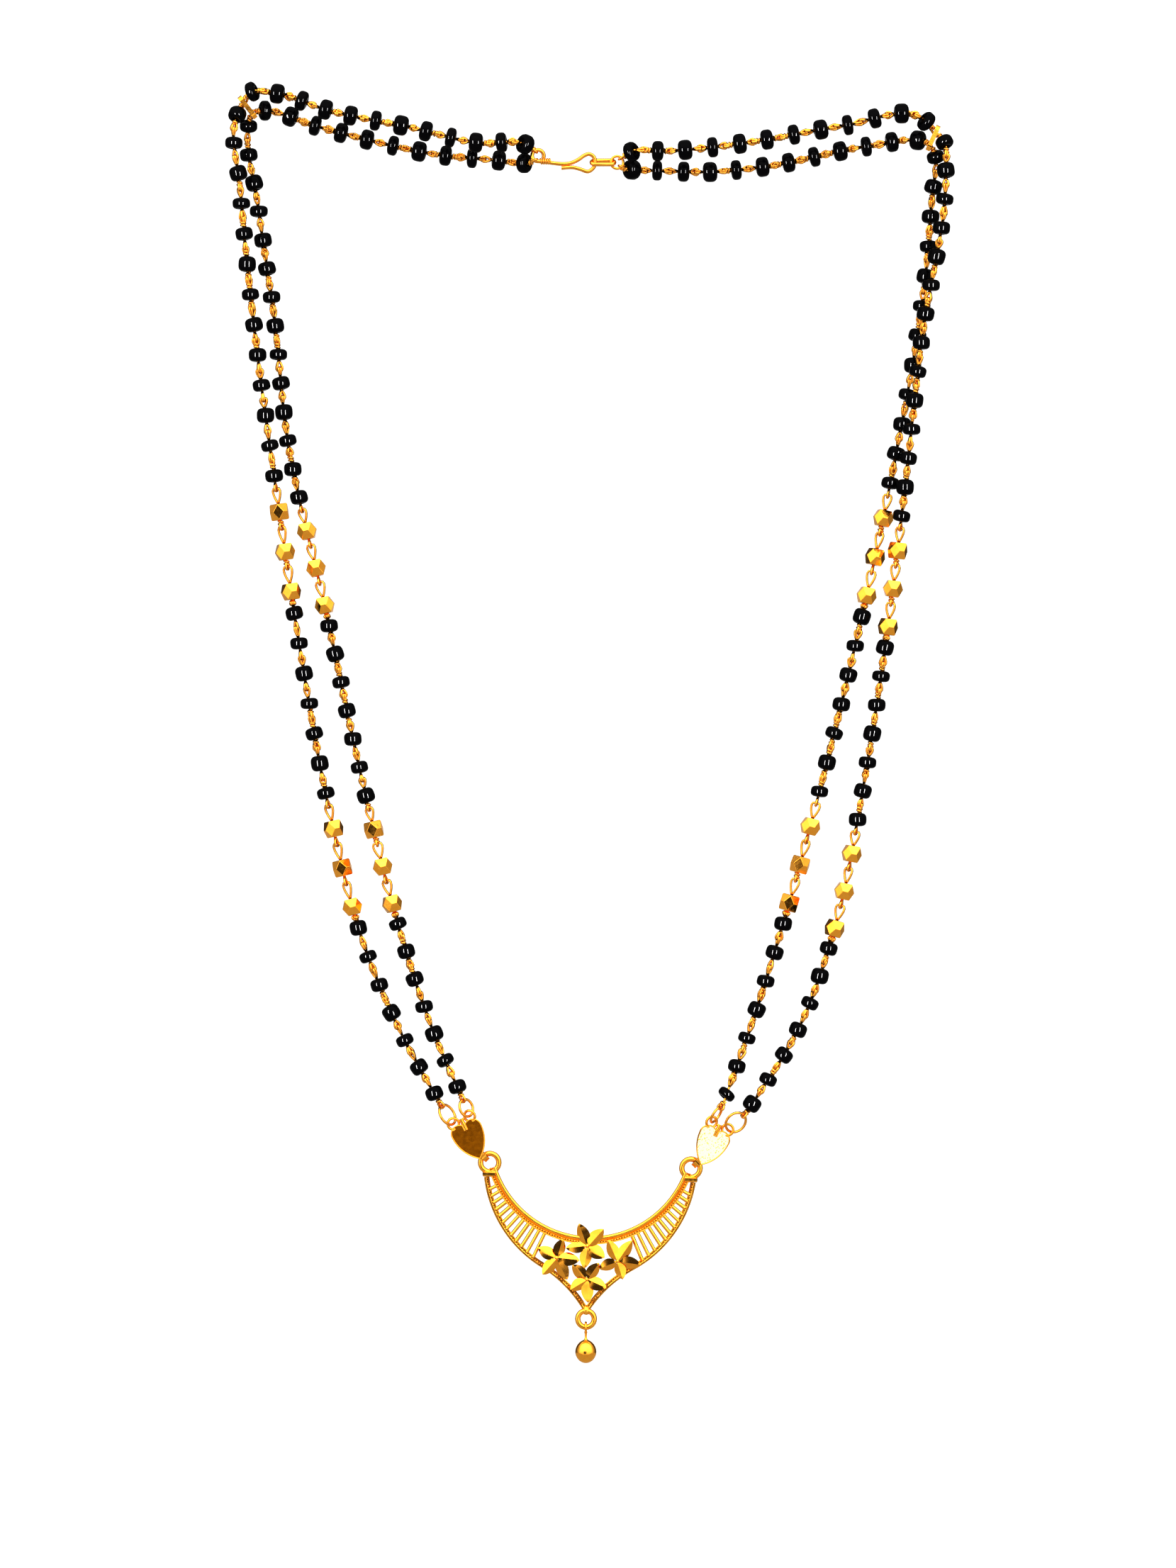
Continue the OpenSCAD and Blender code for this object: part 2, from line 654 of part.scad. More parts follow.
// Pendant: arcs of wire in its own plane, from angle a to angle b in the XZ plane
module arc_wire(mid, r, a, b, wire_r) {
    translate([mid[0], 0, mid[1]])
        rotate([90, 0, 0])
            rotate([0, 0, a])
                rotate_extrude(angle = b - a)
                    translate([r, 0])
                        circle(r = wire_r, $fn = 24);
}

// The band along the upper edge: a round rail, a groove and a flat strip
module band() {
    rail_r = band_t / 2 - 0.15;
    strip_in = band_r + 1.5 * rail_r;
    translate([0, 0, band_mid[1]])
        rotate([90, 0, 0])
            rotate([0, 0, -90 - band_end])
                rotate_extrude(angle = 2 * band_end) {
                    translate([band_r + rail_r, 0])
                        circle(r = rail_r, $fn = 24);
                    translate([strip_in, -band_t / 2])
                        square([band_r + band_w - strip_in, band_t]);
                }
}

// Where a line from the band's middle meets the belly arc, as a distance from that middle
function belly_hit(a) = let (
        dir = [sin(a), -cos(a)],
        off = belly_mid - band_mid,
        b = dir * off
    ) b + sqrt(b * b - off * off + belly_r * belly_r);

rung_first = joint_angle + 4.7;
rung_last = band_end - 10;
module rungs_of(side) {
    for (i = [0:rungs - 1]) {
        a = side * (rung_first + (rung_last - rung_first) * i / (rungs - 1));
        inner = band_r + band_w / 2;
        translate([0, 0, band_mid[1]])
            rotate([0, 180 - a, 0])
                translate([0, 0, inner])
                    cylinder(h = belly_hit(abs(a)) - inner, d = rung_d, $fn = 16);
    }
}

// One petal: a leaf with a raised keel, from its root at the origin along X.
// The flowers fill the room inside the crescent, so a petal's size follows the crescent's.
petal_l = 0.1 * crescent_w;
petal_w = 0.54 * petal_l;
petal_rise = 0.8;
petal_back = 0.35;
petal_parts = 5;
function petal_half(t) = petal_w / 2 * pow(sin(180 * pow(t, 0.9)), 0.75);
module petal() {
    n = petal_parts - 1;
    rows = [for (i = [1:n]) let (t = i / petal_parts, x = t * petal_l, w = petal_half(t))
        each [[x, 0, -w], [x, -petal_rise * sin(150 * t + 20), 0], [x, 0, w], [x, petal_back, 0]]];
    tip = 4 * n + 1;
    walls = [for (i = [0:n - 2], j = [0:3])
        let (a = 1 + 4 * i + j, b = 1 + 4 * i + (j + 1) % 4)
        each [[a, b, a + 4], [b, b + 4, a + 4]]];
    root = [for (j = [0:3]) [0, 1 + (j + 1) % 4, 1 + j]];
    end = [for (j = [0:3]) [tip, tip - 4 + j, tip - 4 + (j + 1) % 4]];
    polyhedron(points = concat([[0, 0, 0]], rows, [[petal_l, 0, 0]]), faces = concat(root, walls, end));
}

// Flowers on the crescent: place in shares of crescent_w and point_drop, and turn of the first petal
FLOWER_X = 0;
FLOWER_Z = 1;
FLOWER_TURN = 2;
FLOWERS = [
    [0.005, -0.12, 40],
    [-0.148, -0.28, 7],
    [0.15, -0.3, -10],
    [0, -0.58, -14]
];
PETALS = 5;
flower_y = -0.55;
module flower(f) {
    translate([f[FLOWER_X] * crescent_w, flower_y, f[FLOWER_Z] * point_drop]) {
        for (i = [0:PETALS - 1])
            rotate([0, -f[FLOWER_TURN] - i * 360 / PETALS, 0])
                translate([0.15, 0, 0])
                    petal();
        sphere(r = 0.5, $fn = 24);
    }
}

// Thickness of the solder round the joints of the rails
solder = 0.06;
module pendant() {
    belly_low = atan2(flare_mid[1] - belly_mid[1], flare_mid[0] - belly_mid[0]);
    belly_high = -end_lean;
    color(GOLD)
        translate([0, 0, -pendant_drop])
            rotate([0, pendant_slant, 0]) {
                band();
                for (side = [-1, 1]) {
                    mirror([side < 0 ? 1 : 0, 0, 0]) {
                        arc_wire(belly_mid, belly_r, belly_low, belly_high, rail_d / 2);
                        arc_wire(flare_mid, flare_r, 180 + belly_low, 180 - point_lean, rail_d / 2);
                        translate([rail_joint.x, 0, rail_joint.y])
                            sphere(r = rail_d / 2 + solder, $fn = 24);
                        translate([end_ring_x - cap_w / 2, -band_t / 2 - 0.1, arm_h])
                            cube([cap_w, band_t + 0.2, cap_h + 0.25]);
                        translate([end_ring_x, 0, end_ring_z])
                            ring(end_ring_r, end_wire_r);
                    }
                    rungs_of(side);
                }
                translate([0, 0, tip_ring_z])
                    ring(tip_ring_r, tip_wire_r);
                rail_end();
                flowers();
            }
}

// The joint of the two rails at the crescent's point
module rail_end() {
    translate([0, 0, -point_drop])
        sphere(r = rail_d / 2 + 2 * solder, $fn = 24);
}

module flowers() {
    for (f = FLOWERS)
        flower(f);
}

// Drop: a wire loop on the pendant's lowest ring, a stem and an egg-shaped ball
module drop() {
    at = slanted([0, 0, tip_ring_z - tip_ring_r]);
    neck_z = -drop_loop_r - stem_l;
    ball_r = ball_d / 2;
    cap_r = 0.62 * ball_r;
    color(GOLD)
        translate(at) {
            rotate([0, 0, 90])
                ring(drop_loop_r, drop_wire_r);
            translate([0, 0, neck_z - 0.3])
                cylinder(h = stem_l + 0.3, r = 1.3 * drop_wire_r, $fn = 24);
            translate([0, 0, neck_z - ball_r]) {
                sphere(r = ball_r);
                translate([0, 0, ball_r * 0.78])
                    cylinder(h = 0.42 * ball_r, r1 = cap_r, r2 = 1.3 * drop_wire_r, $fn = 48);
            }
        }
}

clasp_hook();
clasp_link();
clasp_ring();
tie_ring(0, 1);  // tie_ring_left
tie_ring(3, 2);  // tie_ring_right
for (s = [0:3]) {
    back_thread(s);
    side_thread(s);
    back_beads(s);
    side_beads(s);
    jump_ring(s);
    for (b = [0:GOLD_EACH - 1])
        placed_gold_bead(s, b);
}
heart(-1);  // heart_left
heart(1);  // heart_right
pendant();
drop();
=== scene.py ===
# %% [markdown]
# # Two-strand bead necklace with a crescent pendant
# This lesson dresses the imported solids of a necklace: black glass and faceted gold beads
# that are linked with gold wire, a hook clasp, two small hearts and a pierced crescent.
# The solids come in as a fixed frame in metres, so each piece is made where they say.

# %% Load the solids
import json
import math
from collections import Counter, defaultdict
from functools import partial
from math import cos, pi, radians, sin

import bmesh
import bpy
import numpy as np
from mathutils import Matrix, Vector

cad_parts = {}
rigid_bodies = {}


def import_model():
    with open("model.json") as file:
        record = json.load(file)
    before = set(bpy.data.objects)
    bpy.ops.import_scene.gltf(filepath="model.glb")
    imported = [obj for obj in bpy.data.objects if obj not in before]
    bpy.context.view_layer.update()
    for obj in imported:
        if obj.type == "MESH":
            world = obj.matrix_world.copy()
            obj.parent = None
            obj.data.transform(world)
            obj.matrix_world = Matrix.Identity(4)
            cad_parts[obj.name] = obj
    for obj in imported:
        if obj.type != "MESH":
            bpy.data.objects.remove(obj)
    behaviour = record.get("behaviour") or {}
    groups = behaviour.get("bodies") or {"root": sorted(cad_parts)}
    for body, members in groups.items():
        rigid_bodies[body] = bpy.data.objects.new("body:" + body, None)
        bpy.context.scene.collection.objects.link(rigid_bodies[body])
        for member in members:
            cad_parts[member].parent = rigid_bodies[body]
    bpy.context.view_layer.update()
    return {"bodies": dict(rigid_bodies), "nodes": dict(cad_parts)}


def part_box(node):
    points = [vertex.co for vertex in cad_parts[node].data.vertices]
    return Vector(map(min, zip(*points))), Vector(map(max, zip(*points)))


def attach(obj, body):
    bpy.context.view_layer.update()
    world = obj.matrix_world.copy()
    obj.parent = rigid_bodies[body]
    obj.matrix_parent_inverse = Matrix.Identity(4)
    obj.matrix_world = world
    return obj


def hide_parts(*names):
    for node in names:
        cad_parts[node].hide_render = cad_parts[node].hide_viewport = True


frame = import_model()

print("nodes:", len(frame["nodes"]), "bodies:", sorted(frame["bodies"]))

# %% [markdown]
# ## The sizes and routes that the solids were made from
# The wire links follow the curves of the solids' threads. A script can't read the solids'
# source, so the few sizes and route points that it needs are written here again. The boxes
# of the nodes then show whether both agree.

# %% Sizes in millimetres
MM = 0.001
RIGHT, FAR, UP = np.eye(3)

THREAD_R, WIRE_ROOM = 0.25, 0.12
HOOK_WIRE_R, RING_WIRE_R = 0.25, 0.22
HOOK_L, HOOK_H = 9.7, 2.95
LINK_L, LINK_WIRE_R = 4.4, 0.26
EYE_TO_BEAD, TIE_TO_BEAD = 2.4, 2.6
STRAND_DEPTH = 3.4
SIDE_BEAD_D, SIDE_BEAD_L = 3.0, 2.35
BACK_BEAD_D, BACK_BEAD_L = 3.4, 2.2
BEAD_HOLE_R = 0.575
GOLD_BEAD_L = 2.75
CRESCENT_W, PENDANT_DROP, PENDANT_SLANT = 35.0, 180.0, 1.6
ARM_H, POINT_DROP = 9.6, 12.6
CAP_W, CAP_H = 2.3, 0.85
RAIL_D = 0.85
END_RING_R, END_WIRE_R = 1.55, 0.36
TIP_RING_R, TIP_WIRE_R = 1.4, 0.38
HEART_W, HEART_TIP, HEART_T, HEART_LEAN = 5.4, 5.2, 0.5, 26.0
HEART_TURNS = {-1: -8.0, 1: 12.0}
HEART_LOOP_R = 0.95


def unit(v):
    return np.asarray(v, float) / np.linalg.norm(v)


def fan(degrees):
    a = radians(degrees)
    return np.array([cos(a), 0.0, sin(a)])


def swung(v, degrees):
    """A vector turned in the view's plane, from upright towards the right."""
    a = radians(degrees)
    x, y, z = v
    return np.array([x * cos(a) + z * sin(a), y, z * cos(a) - x * sin(a)])


def on_pendant(x, y, z):
    return swung((x, y, z), PENDANT_SLANT) - PENDANT_DROP * UP


# %% Where the strands start and end
EYE_R = THREAD_R + max(HOOK_WIRE_R, RING_WIRE_R) + WIRE_ROOM
HOOK_SPREAD, JOIN_SPREAD = 56.0, 46.0
HOOK_EYE_R, JOIN_RING_R = (EYE_R + (2 * THREAD_R + WIRE_ROOM) / (2 * sin(radians(spread)))
                           for spread in (HOOK_SPREAD, JOIN_SPREAD))
HOOK_BEND = [
    (-0.88, 0.58), (-0.25, 0.55), (-0.16, 0.71), (-0.07, 0.92), (0.01, 1.00), (0.08, 0.89),
    (0.12, 0.61), (0.09, 0.22), (0.00, 0.00), (-0.14, 0.13), (-0.26, 0.23), (-0.47, 0.20),
]
HOOK_ROUTE = [np.array([x * HOOK_L, 0.0, HOOK_WIRE_R + z * HOOK_H]) for x, z in HOOK_BEND]
HOOK_EYE = HOOK_ROUTE[0] + HOOK_EYE_R * UP
HOOK_EYE_SWEEP = 300.0


def hook_eye_wire(a):
    share = (-90.0 - a) / HOOK_EYE_SWEEP
    return HOOK_EYE + HOOK_EYE_R * fan(a) + 2.3 * HOOK_WIRE_R * share * FAR


LINK_LEFT = ((0.12 * HOOK_L - HOOK_WIRE_R - LINK_WIRE_R - WIRE_ROOM) * RIGHT
             + (HOOK_WIRE_R + 0.52 * HOOK_H) * UP)
LINK_RIGHT = LINK_LEFT + (LINK_L - 2 * LINK_WIRE_R) * RIGHT
JOIN_RING = LINK_RIGHT + (JOIN_RING_R - LINK_WIRE_R - RING_WIRE_R - WIRE_ROOM) * RIGHT

HALF_W = CRESCENT_W / 2
END_RING_X = HALF_W - 0.2 * CAP_W
END_RING_Z = ARM_H + CAP_H + END_RING_R
HINGE_AT = 45.0
HINGE_X, _, HINGE_Z = np.array([END_RING_X, 0.0, END_RING_Z]) + END_RING_R * fan(HINGE_AT)
LOBE_R = 0.27 * HEART_W
NOTCH_Z = HEART_TIP + math.sqrt(LOBE_R ** 2 - (HEART_W / 2 - LOBE_R) ** 2)
LOOP_X = HEART_LOOP_R + 0.6
LOOP_Z = NOTCH_Z + 1.25
LOOP_FRONT = -(0.78 + 0.15) - HEART_T / 2


def heart_point(side, x, y, z):
    t = radians(HEART_TURNS[side])
    base = on_pendant(side * HINGE_X, 0.0, HINGE_Z) + 0.75 * fan(HINGE_AT) * (side, 0.0, -0.6)
    return base + swung((x * cos(t), y + x * sin(t), z), side * HEART_LEAN)


# %% Routes of the four strands
STRANDS = ["left_outer", "left_inner", "right_inner", "right_outer"]
JUMP_RINGS = [(-1, -1, 1.85, 123.0, 56.0), (-1, 1, 1.5, 112.0, 46.0),
              (1, -1, 1.5, 58.0, 68.0), (1, 1, 1.85, 42.0, 34.0)]
DEPTH_SHARES = [1, 1, 1, 1, 0.8, 0.7, 0, 0.7, 1, 1, 0.8, 0.4, 0, 0, 0]
STRAND_ROUTES = [
    [(-11.8, 5), (-17, 4.8), (-30.5, 7.6), (-44, 10.4), (-52.5, 13.2), (-57, 13.5), (-58.4, 12), (-59.6, 9),
     (-58.8, -3), (-56.2, -28.5), (-52.8, -53.5), (-48.7, -81), (-43.6, -109), (-37.7, -131.5), (-31, -147)],
    [(-12, 1.9), (-16, 2.4), (-25, 3.2), (-34, 5), (-46.5, 8.2), (-55, 10.7), (-57, 10.2), (-57.6, 8.2),
     (-56, -5.5), (-53.2, -25), (-51, -45), (-44.6, -73.5), (-38, -104), (-32, -128), (-25.6, -147)],
    [(8.3, 0.7), (11.5, 0.6), (21, 0.4), (29.5, 1.2), (47.5, 4.7), (56.2, 5.6), (57.9, 4.9), (58.9, 2.6),
     (58.4, -3), (57.2, -17), (51, -53.4), (44.8, -81.7), (38.6, -106.7), (33, -127), (25.6, -150)],
    [(8.2, 3.7), (11.5, 3.5), (20.4, 4.1), (30, 5.4), (43, 7.8), (56.6, 9), (58.8, 6.9), (60.2, 5),
     (60.4, 0.5), (56.3, -28.5), (53.5, -53.5), (50.3, -79.5), (46.2, -106), (42.2, -126), (35.3, -145.4)],
]
STRAND_SIDE = [-1, 1, 1, -1]
TIE_POINT, LAST_POINT = 7, 16
CLASP_ANGLES = [-180 - HOOK_SPREAD, -180 + HOOK_SPREAD, -JOIN_SPREAD, JOIN_SPREAD]


def clasp_eye(s):
    if s < 2:
        return hook_eye_wire(CLASP_ANGLES[s])
    return JOIN_RING + JOIN_RING_R * fan(CLASP_ANGLES[s])


def ring_far(s):
    side, loop, r, points, turn = JUMP_RINGS[s]
    return heart_point(side, loop * LOOP_X, LOOP_FRONT, LOOP_Z) + 2 * r * fan(points)


def strand_points(s):
    depth = STRAND_SIDE[s] * STRAND_DEPTH / 2
    mid = [np.array([x, depth * share, z]) for (x, z), share in zip(STRAND_ROUTES[s], DEPTH_SHARES)]
    return [clasp_eye(s) + EYE_R * fan(CLASP_ANGLES[s]), *mid,
            ring_far(s) + EYE_R * fan(JUMP_RINGS[s][3])]


# %% [markdown]
# ## One smooth curve through uneven points
# Beads and links have to sit exactly on the solids' threads, so the points are blended in
# the solids' way. A place on the curve is found by its distance from the start.

# %% The strand's curve
BEND_STEP, WIRE_STEP, WAY_REACH = 5.0, 0.6, 0.4


def strand_slope(p, i):
    if i == 0:
        return unit(p[1] - p[0])
    if i == len(p) - 1:
        return unit(p[i] - p[i - 1])
    before, after = np.linalg.norm(p[i] - p[i - 1]), np.linalg.norm(p[i + 1] - p[i])
    return (unit(p[i] - p[i - 1]) * after + unit(p[i + 1] - p[i]) * before) / (before + after)


def smooth_line(p, first, last, step):
    line = []
    for i in range(first, last):
        gap = np.linalg.norm(p[i + 1] - p[i])
        a, b = strand_slope(p, i), strand_slope(p, i + 1)
        bend = math.degrees(math.acos(min(1.0, float(unit(a) @ unit(b)))))
        m = max(2, math.ceil(gap / step), math.ceil(bend / BEND_STEP))
        for j in range(m):
            t = j / m
            w = t * t * (3 - 2 * t)
            line.append(p[i] * (1 - w) + p[i + 1] * w
                        + a * gap * t * (1 - t) ** 2 - b * gap * t * t * (1 - t))
    line.append(p[last])
    return np.array(line)


class Line:
    """Points with the distance along them, to place things on."""

    def __init__(self, points):
        self.points = np.array(points)
        steps = np.linalg.norm(np.diff(self.points, axis=0), axis=1)
        self.far = np.concatenate([[0.0], np.cumsum(steps)])
        self.length = float(self.far[-1])

    def at(self, x):
        return np.array([np.interp(x, self.far, self.points[:, k]) for k in range(3)])

    def way(self, x):
        return unit(self.at(x + WAY_REACH) - self.at(x - WAY_REACH))


BACK_LINES = [Line(smooth_line(strand_points(s), 0, TIE_POINT, WIRE_STEP)) for s in range(4)]
SIDE_LINES = [Line(smooth_line(strand_points(s), TIE_POINT, LAST_POINT, WIRE_STEP)) for s in range(4)]
for line, name in zip(SIDE_LINES, STRANDS):
    print(name, "lowest point", round(line.points[:, 2].min(), 2), "mm; the node's box starts at",
          round(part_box("side_thread_" + name)[0][2] / MM, 2))

# %% [markdown]
# ## Where the beads sit
# Hand-made glass beads are never quite alike. A short table of lengths and tilts, taken in
# turn, gives the strings that look, and the pitch opens a little next to the gold beads.

# %% Bead table
BACK_BEADS = [12, 11, 12, 12]
FIRST_RUN, LATER_RUNS = [13, 14, 12, 14], ([1] * 3 + [0] * 7) * 2
BEAD_LENGTHS = [1, 0.86, 1.1, 0.8, 0.94, 1.14, 0.84, 1.04]
BEAD_TILTS = [2, -4, 5, -1, 3, -5, 0, 4, -3]
PITCH = {(0, 0): 1.0, (0, 1): 1.2, (1, 1): 1.32, (1, 0): 0.72}


def bead_places(line, kinds, head, tail, size, first, tilts, first_tilt):
    """Each bead's distance along a line, its length, its tilt and 1 for a gold one."""
    steps = np.cumsum([0.0] + [PITCH[pair] for pair in zip(kinds, kinds[1:])])
    along = head + (line.length - head - tail) * steps / steps[-1]
    return [(x, GOLD_BEAD_L if kind else BEAD_LENGTHS[(first + i) % len(BEAD_LENGTHS)] * size,
             tilts[(first_tilt + i) % len(tilts)], kind) for i, (x, kind) in enumerate(zip(along, kinds))]


BACK_PLACES = [bead_places(BACK_LINES[s], [0] * BACK_BEADS[s], EYE_TO_BEAD - EYE_R, TIE_TO_BEAD,
                           BACK_BEAD_L, s, [0], 0) for s in range(4)]
SIDE_PLACES = [bead_places(SIDE_LINES[s], [0] * FIRST_RUN[s] + LATER_RUNS, TIE_TO_BEAD, EYE_TO_BEAD - EYE_R,
                           SIDE_BEAD_L, 3 * s, BEAD_TILTS, 2 * s) for s in range(4)]
print("beads:", [len(BACK_PLACES[s]) + len(SIDE_PLACES[s]) for s in range(4)])

# %% [markdown]
# ## Helpers for node trees
# Beads, links and grains repeat, so they are grown by Geometry Nodes: a tree takes loose
# points that carry their own direction and size, and puts a copy on each. These helpers
# add nodes, feed them from other nodes or numbers, and turn the result into a plain mesh.

# %% Nodes, links and sums
Node, Socket = bpy.types.Node, bpy.types.NodeSocket


def feed(node, sockets):
    """Sets inputs. A node or a socket is linked, anything else is a value."""
    for key, value in sockets.items():
        if isinstance(value, Node):
            value = value.outputs[0]
        if isinstance(value, Socket):
            node.id_data.links.new(value, node.inputs[key])
        else:
            node.inputs[key].default_value = value


def add(tree, kind, sockets=None, **settings):
    made = tree.nodes.new(kind)
    for key, value in settings.items():
        setattr(made, key, value)
    feed(made, sockets or {})
    return made


def tree_of(*values):
    return next(v.id_data for v in values if isinstance(v, (Node, Socket)))


def calc(operation, *values):
    return add(tree_of(*values), "ShaderNodeMath", dict(enumerate(values)), operation=operation)


plus, minus, times, over, power = [
    partial(calc, name) for name in ("ADD", "SUBTRACT", "MULTIPLY", "DIVIDE", "POWER")]


def vector(x, y, z):
    return add(tree_of(x, y, z), "ShaderNodeCombineXYZ", {"X": x, "Y": y, "Z": z})


def split(value):
    return add(tree_of(value), "ShaderNodeSeparateXYZ", {0: value}).outputs


def noise(place, scale, detail):
    return add(tree_of(place), "ShaderNodeTexNoise", {"Vector": place, "Scale": scale, "Detail": detail})


def ramp(value, low, high, start, end, smooth=False):
    """Carries a value from low..high over to start..end."""
    return add(tree_of(value), "ShaderNodeMapRange", {
        "Value": value, "From Min": low, "From Max": high, "To Min": start, "To Max": end},
        interpolation_type="SMOOTHSTEP" if smooth else "LINEAR")


# %% Groups and copies on points
def new_group(kind, name, inputs, outputs):
    """An empty node group, the sockets that it is given and the node of its results."""
    tree = bpy.data.node_groups.new(name, kind)
    for in_out, sockets in (("INPUT", inputs), ("OUTPUT", outputs)):
        for label, socket in sockets.items():
            tree.interface.new_socket(label, in_out=in_out, socket_type="NodeSocket" + socket)
    return tree, tree.nodes.new("NodeGroupInput").outputs, tree.nodes.new("NodeGroupOutput")


def new_tree(name, inputs):
    return new_group("GeometryNodeTree", name, {"Points": "Geometry", **inputs}, {"Geometry": "Geometry"})


def named(tree, name, kind="FLOAT"):
    made = add(tree, "GeometryNodeInputNamedAttribute", {"Name": name}, data_type=kind)
    return made.outputs["Attribute"]


def aimed(tree, axis, second_axis, second=tuple(FAR)):
    """The turn that lays one axis along a point's way and another towards a side."""
    return add(tree, "FunctionNodeAxesToRotation", {
        "Primary Axis": named(tree, "way", "FLOAT_VECTOR"), "Secondary Axis": second},
        primary_axis=axis, secondary_axis=second_axis)


def on_points(given, shape, aim, scale, **more):
    return add(tree_of(aim), "GeometryNodeInstanceOnPoints", {
        "Points": given["Points"], "Instance": shape, "Rotation": aim, "Scale": scale, **more})


def finish_tree(given, result, geometry):
    tree = result.id_data
    real = add(tree, "GeometryNodeRealizeInstances", {"Geometry": geometry})
    smooth = add(tree, "GeometryNodeSetShadeSmooth", {"Geometry": real})
    done = add(tree, "GeometryNodeSetMaterial", {"Geometry": smooth, "Material": given["Finish"]})
    feed(result, {0: done})


# %% Objects from points and trees
def linked(name, data):
    made = bpy.data.objects.new(name, data)
    bpy.context.collection.objects.link(made)
    return made


def point_cloud(name, rows):
    """Loose points in metres from rows of millimetres: the place first, then named attributes."""
    mesh = bpy.data.meshes.new(name)
    mesh.from_pydata([tuple(r["at"] * MM) for r in rows], [], [])
    for key in list(rows[0])[1:]:
        values = np.array([r[key] for r in rows], float)
        kind, field = ("FLOAT_VECTOR", "vector") if values.ndim == 2 else ("FLOAT", "value")
        mesh.attributes.new(key, kind, "POINT").data.foreach_set(field, values.ravel())
    return mesh


def grow(name, tree, rows, values):
    """Runs a tree on points made from the rows and returns the result as a plain object."""
    seed = linked(name + "_seed", point_cloud(name + "_points", rows))
    modifier = seed.modifiers.new("grow", "NODES")
    modifier.node_group = tree
    for item in tree.interface.items_tree:
        if item.item_type == "SOCKET" and item.in_out == "INPUT" and item.name in values:
            modifier[item.identifier] = values[item.name]
    seed.update_tag()
    bpy.context.view_layer.update()
    grown = seed.evaluated_get(bpy.context.evaluated_depsgraph_get())
    made = linked(name, bpy.data.meshes.new_from_object(grown))
    made.data.name = name
    bpy.data.objects.remove(seed)
    print(name, "faces:", len(made.data.polygons))
    return made


# %% [markdown]
# ## Gold and glass
# Plated brass is a deep orange yellow where it mirrors something bright, and dark brown
# where it mirrors the dark room in front. That contrast is the metal's look, so the base
# colour stays plain, and a shared group adds what wear does: slight patches of tone,
# roughness that changes over the surface, and fine scratches.

# %% Shared wear group
def object_place(tree):
    return add(tree, "ShaderNodeTexCoord").outputs["Object"]


WEAR, given, result = new_group(
    "ShaderNodeTree", "fine_wear",
    {"Patch Scale": "Float", "Grain Scale": "Float", "Least Roughness": "Float", "Most Roughness": "Float"},
    {"Patches": "Float", "Roughness": "Float", "Height": "Float"})
place = object_place(WEAR)
patches = noise(place, given["Patch Scale"], 3.0)
rough = ramp(patches, 0.3, 0.7, given["Least Roughness"], given["Most Roughness"])
feed(result, {"Patches": patches, "Roughness": rough, "Height": noise(place, given["Grain Scale"], 4.0)})


# %% Parts of a finish
def new_finish(name, metallic):
    finish = bpy.data.materials.new(name)
    finish.use_nodes = True
    shader = finish.node_tree.nodes["Principled BSDF"]
    feed(shader, {"Metallic": metallic, "IOR": 1.5})
    return finish, finish.node_tree, shader


def two_tone(factor, deep, light):
    mix = add(tree_of(factor), "ShaderNodeMix", {
        "Factor": factor, "A": (*deep, 1.0), "B": (*light, 1.0)}, data_type="RGBA")
    return next(o for o in mix.outputs if o.type == "RGBA")


def relief(height, strength, depth):
    return add(tree_of(height), "ShaderNodeBump", {"Strength": strength, "Distance": depth, "Height": height})


def worn_finish(name, metallic, light, deep, patch_scale, grain_scale, roughness, bump, depth):
    finish, tree, shader = new_finish(name, metallic)
    wear = add(tree, "ShaderNodeGroup", {
        "Patch Scale": patch_scale, "Grain Scale": grain_scale,
        "Least Roughness": roughness[0], "Most Roughness": roughness[1]}, node_tree=WEAR)
    feed(shader, {"Base Color": two_tone(wear.outputs["Patches"], deep, light),
                  "Roughness": wear.outputs["Roughness"],
                  "Normal": relief(wear.outputs["Height"], bump, depth)})
    return finish


# %% Gold finishes
GOLD, WIRE_GOLD, CAST_GOLD, LEAF_GOLD, SHADED_HEART_GOLD = [
    worn_finish(name, 1.0, *looks, 0.00002) for name, *looks in (
        ("polished_gold", (1.0, 0.55, 0.1), (1.0, 0.43, 0.045), 1500.0, 2600.0, (0.08, 0.2), 0.35),
        ("drawn_wire_gold", (1.0, 0.56, 0.12), (0.85, 0.34, 0.035), 1500.0, 7000.0, (0.1, 0.22), 0.25),
        ("cast_gold", (1.0, 0.57, 0.11), (0.98, 0.43, 0.04), 1200.0, 4000.0, (0.12, 0.24), 0.3),
        ("leaf_gold", (1.0, 0.53, 0.09), (0.92, 0.38, 0.03), 900.0, 5000.0, (0.08, 0.16), 0.12),
        # The satin finish is a darker, redder copy of the gold for the left heart's face: painted shade of a
        # face that mirrors the dark room.
        ("satin_gold", (1.0, 0.4, 0.012), (0.9, 0.32, 0.008), 1600.0, 9000.0, (0.21, 0.25), 0.03))]


# %% [markdown]
# The frosted sheet has a fine punched grain. Between its pits the colour is a pale painted
# sheen, where the sheet scatters the light, and in the pits it is the gold's yellow. The glass
# is nearly black and mirrors little but the lights, which a low specular level gives.

# %% Frosted gold with a pale painted sheen
SHEEN_PAINTED_FROST_GOLD, tree, shader = new_finish("frosted_gold_painted_sheen", 1.0)
place = object_place(tree)
pits = add(tree, "ShaderNodeTexVoronoi", {"Vector": place, "Scale": 3300.0}, feature="F1")
depth = plus(pits.outputs["Distance"], times(noise(place, 1500.0, 1.0), 0.9))
# Painted light: the grain between the pits is a pale painted sheen, and the pits keep the gold's yellow.
feed(shader, {
    "Base Color": two_tone(ramp(depth, 0.6, 0.8, 0.0, 1.0), (0.95, 0.68, 0.08), (0.97, 0.93, 0.72)),
    "Roughness": ramp(depth, 0.0, 1.0, 0.58, 0.66),
    "Normal": relief(depth, 0.3, 0.00003)})

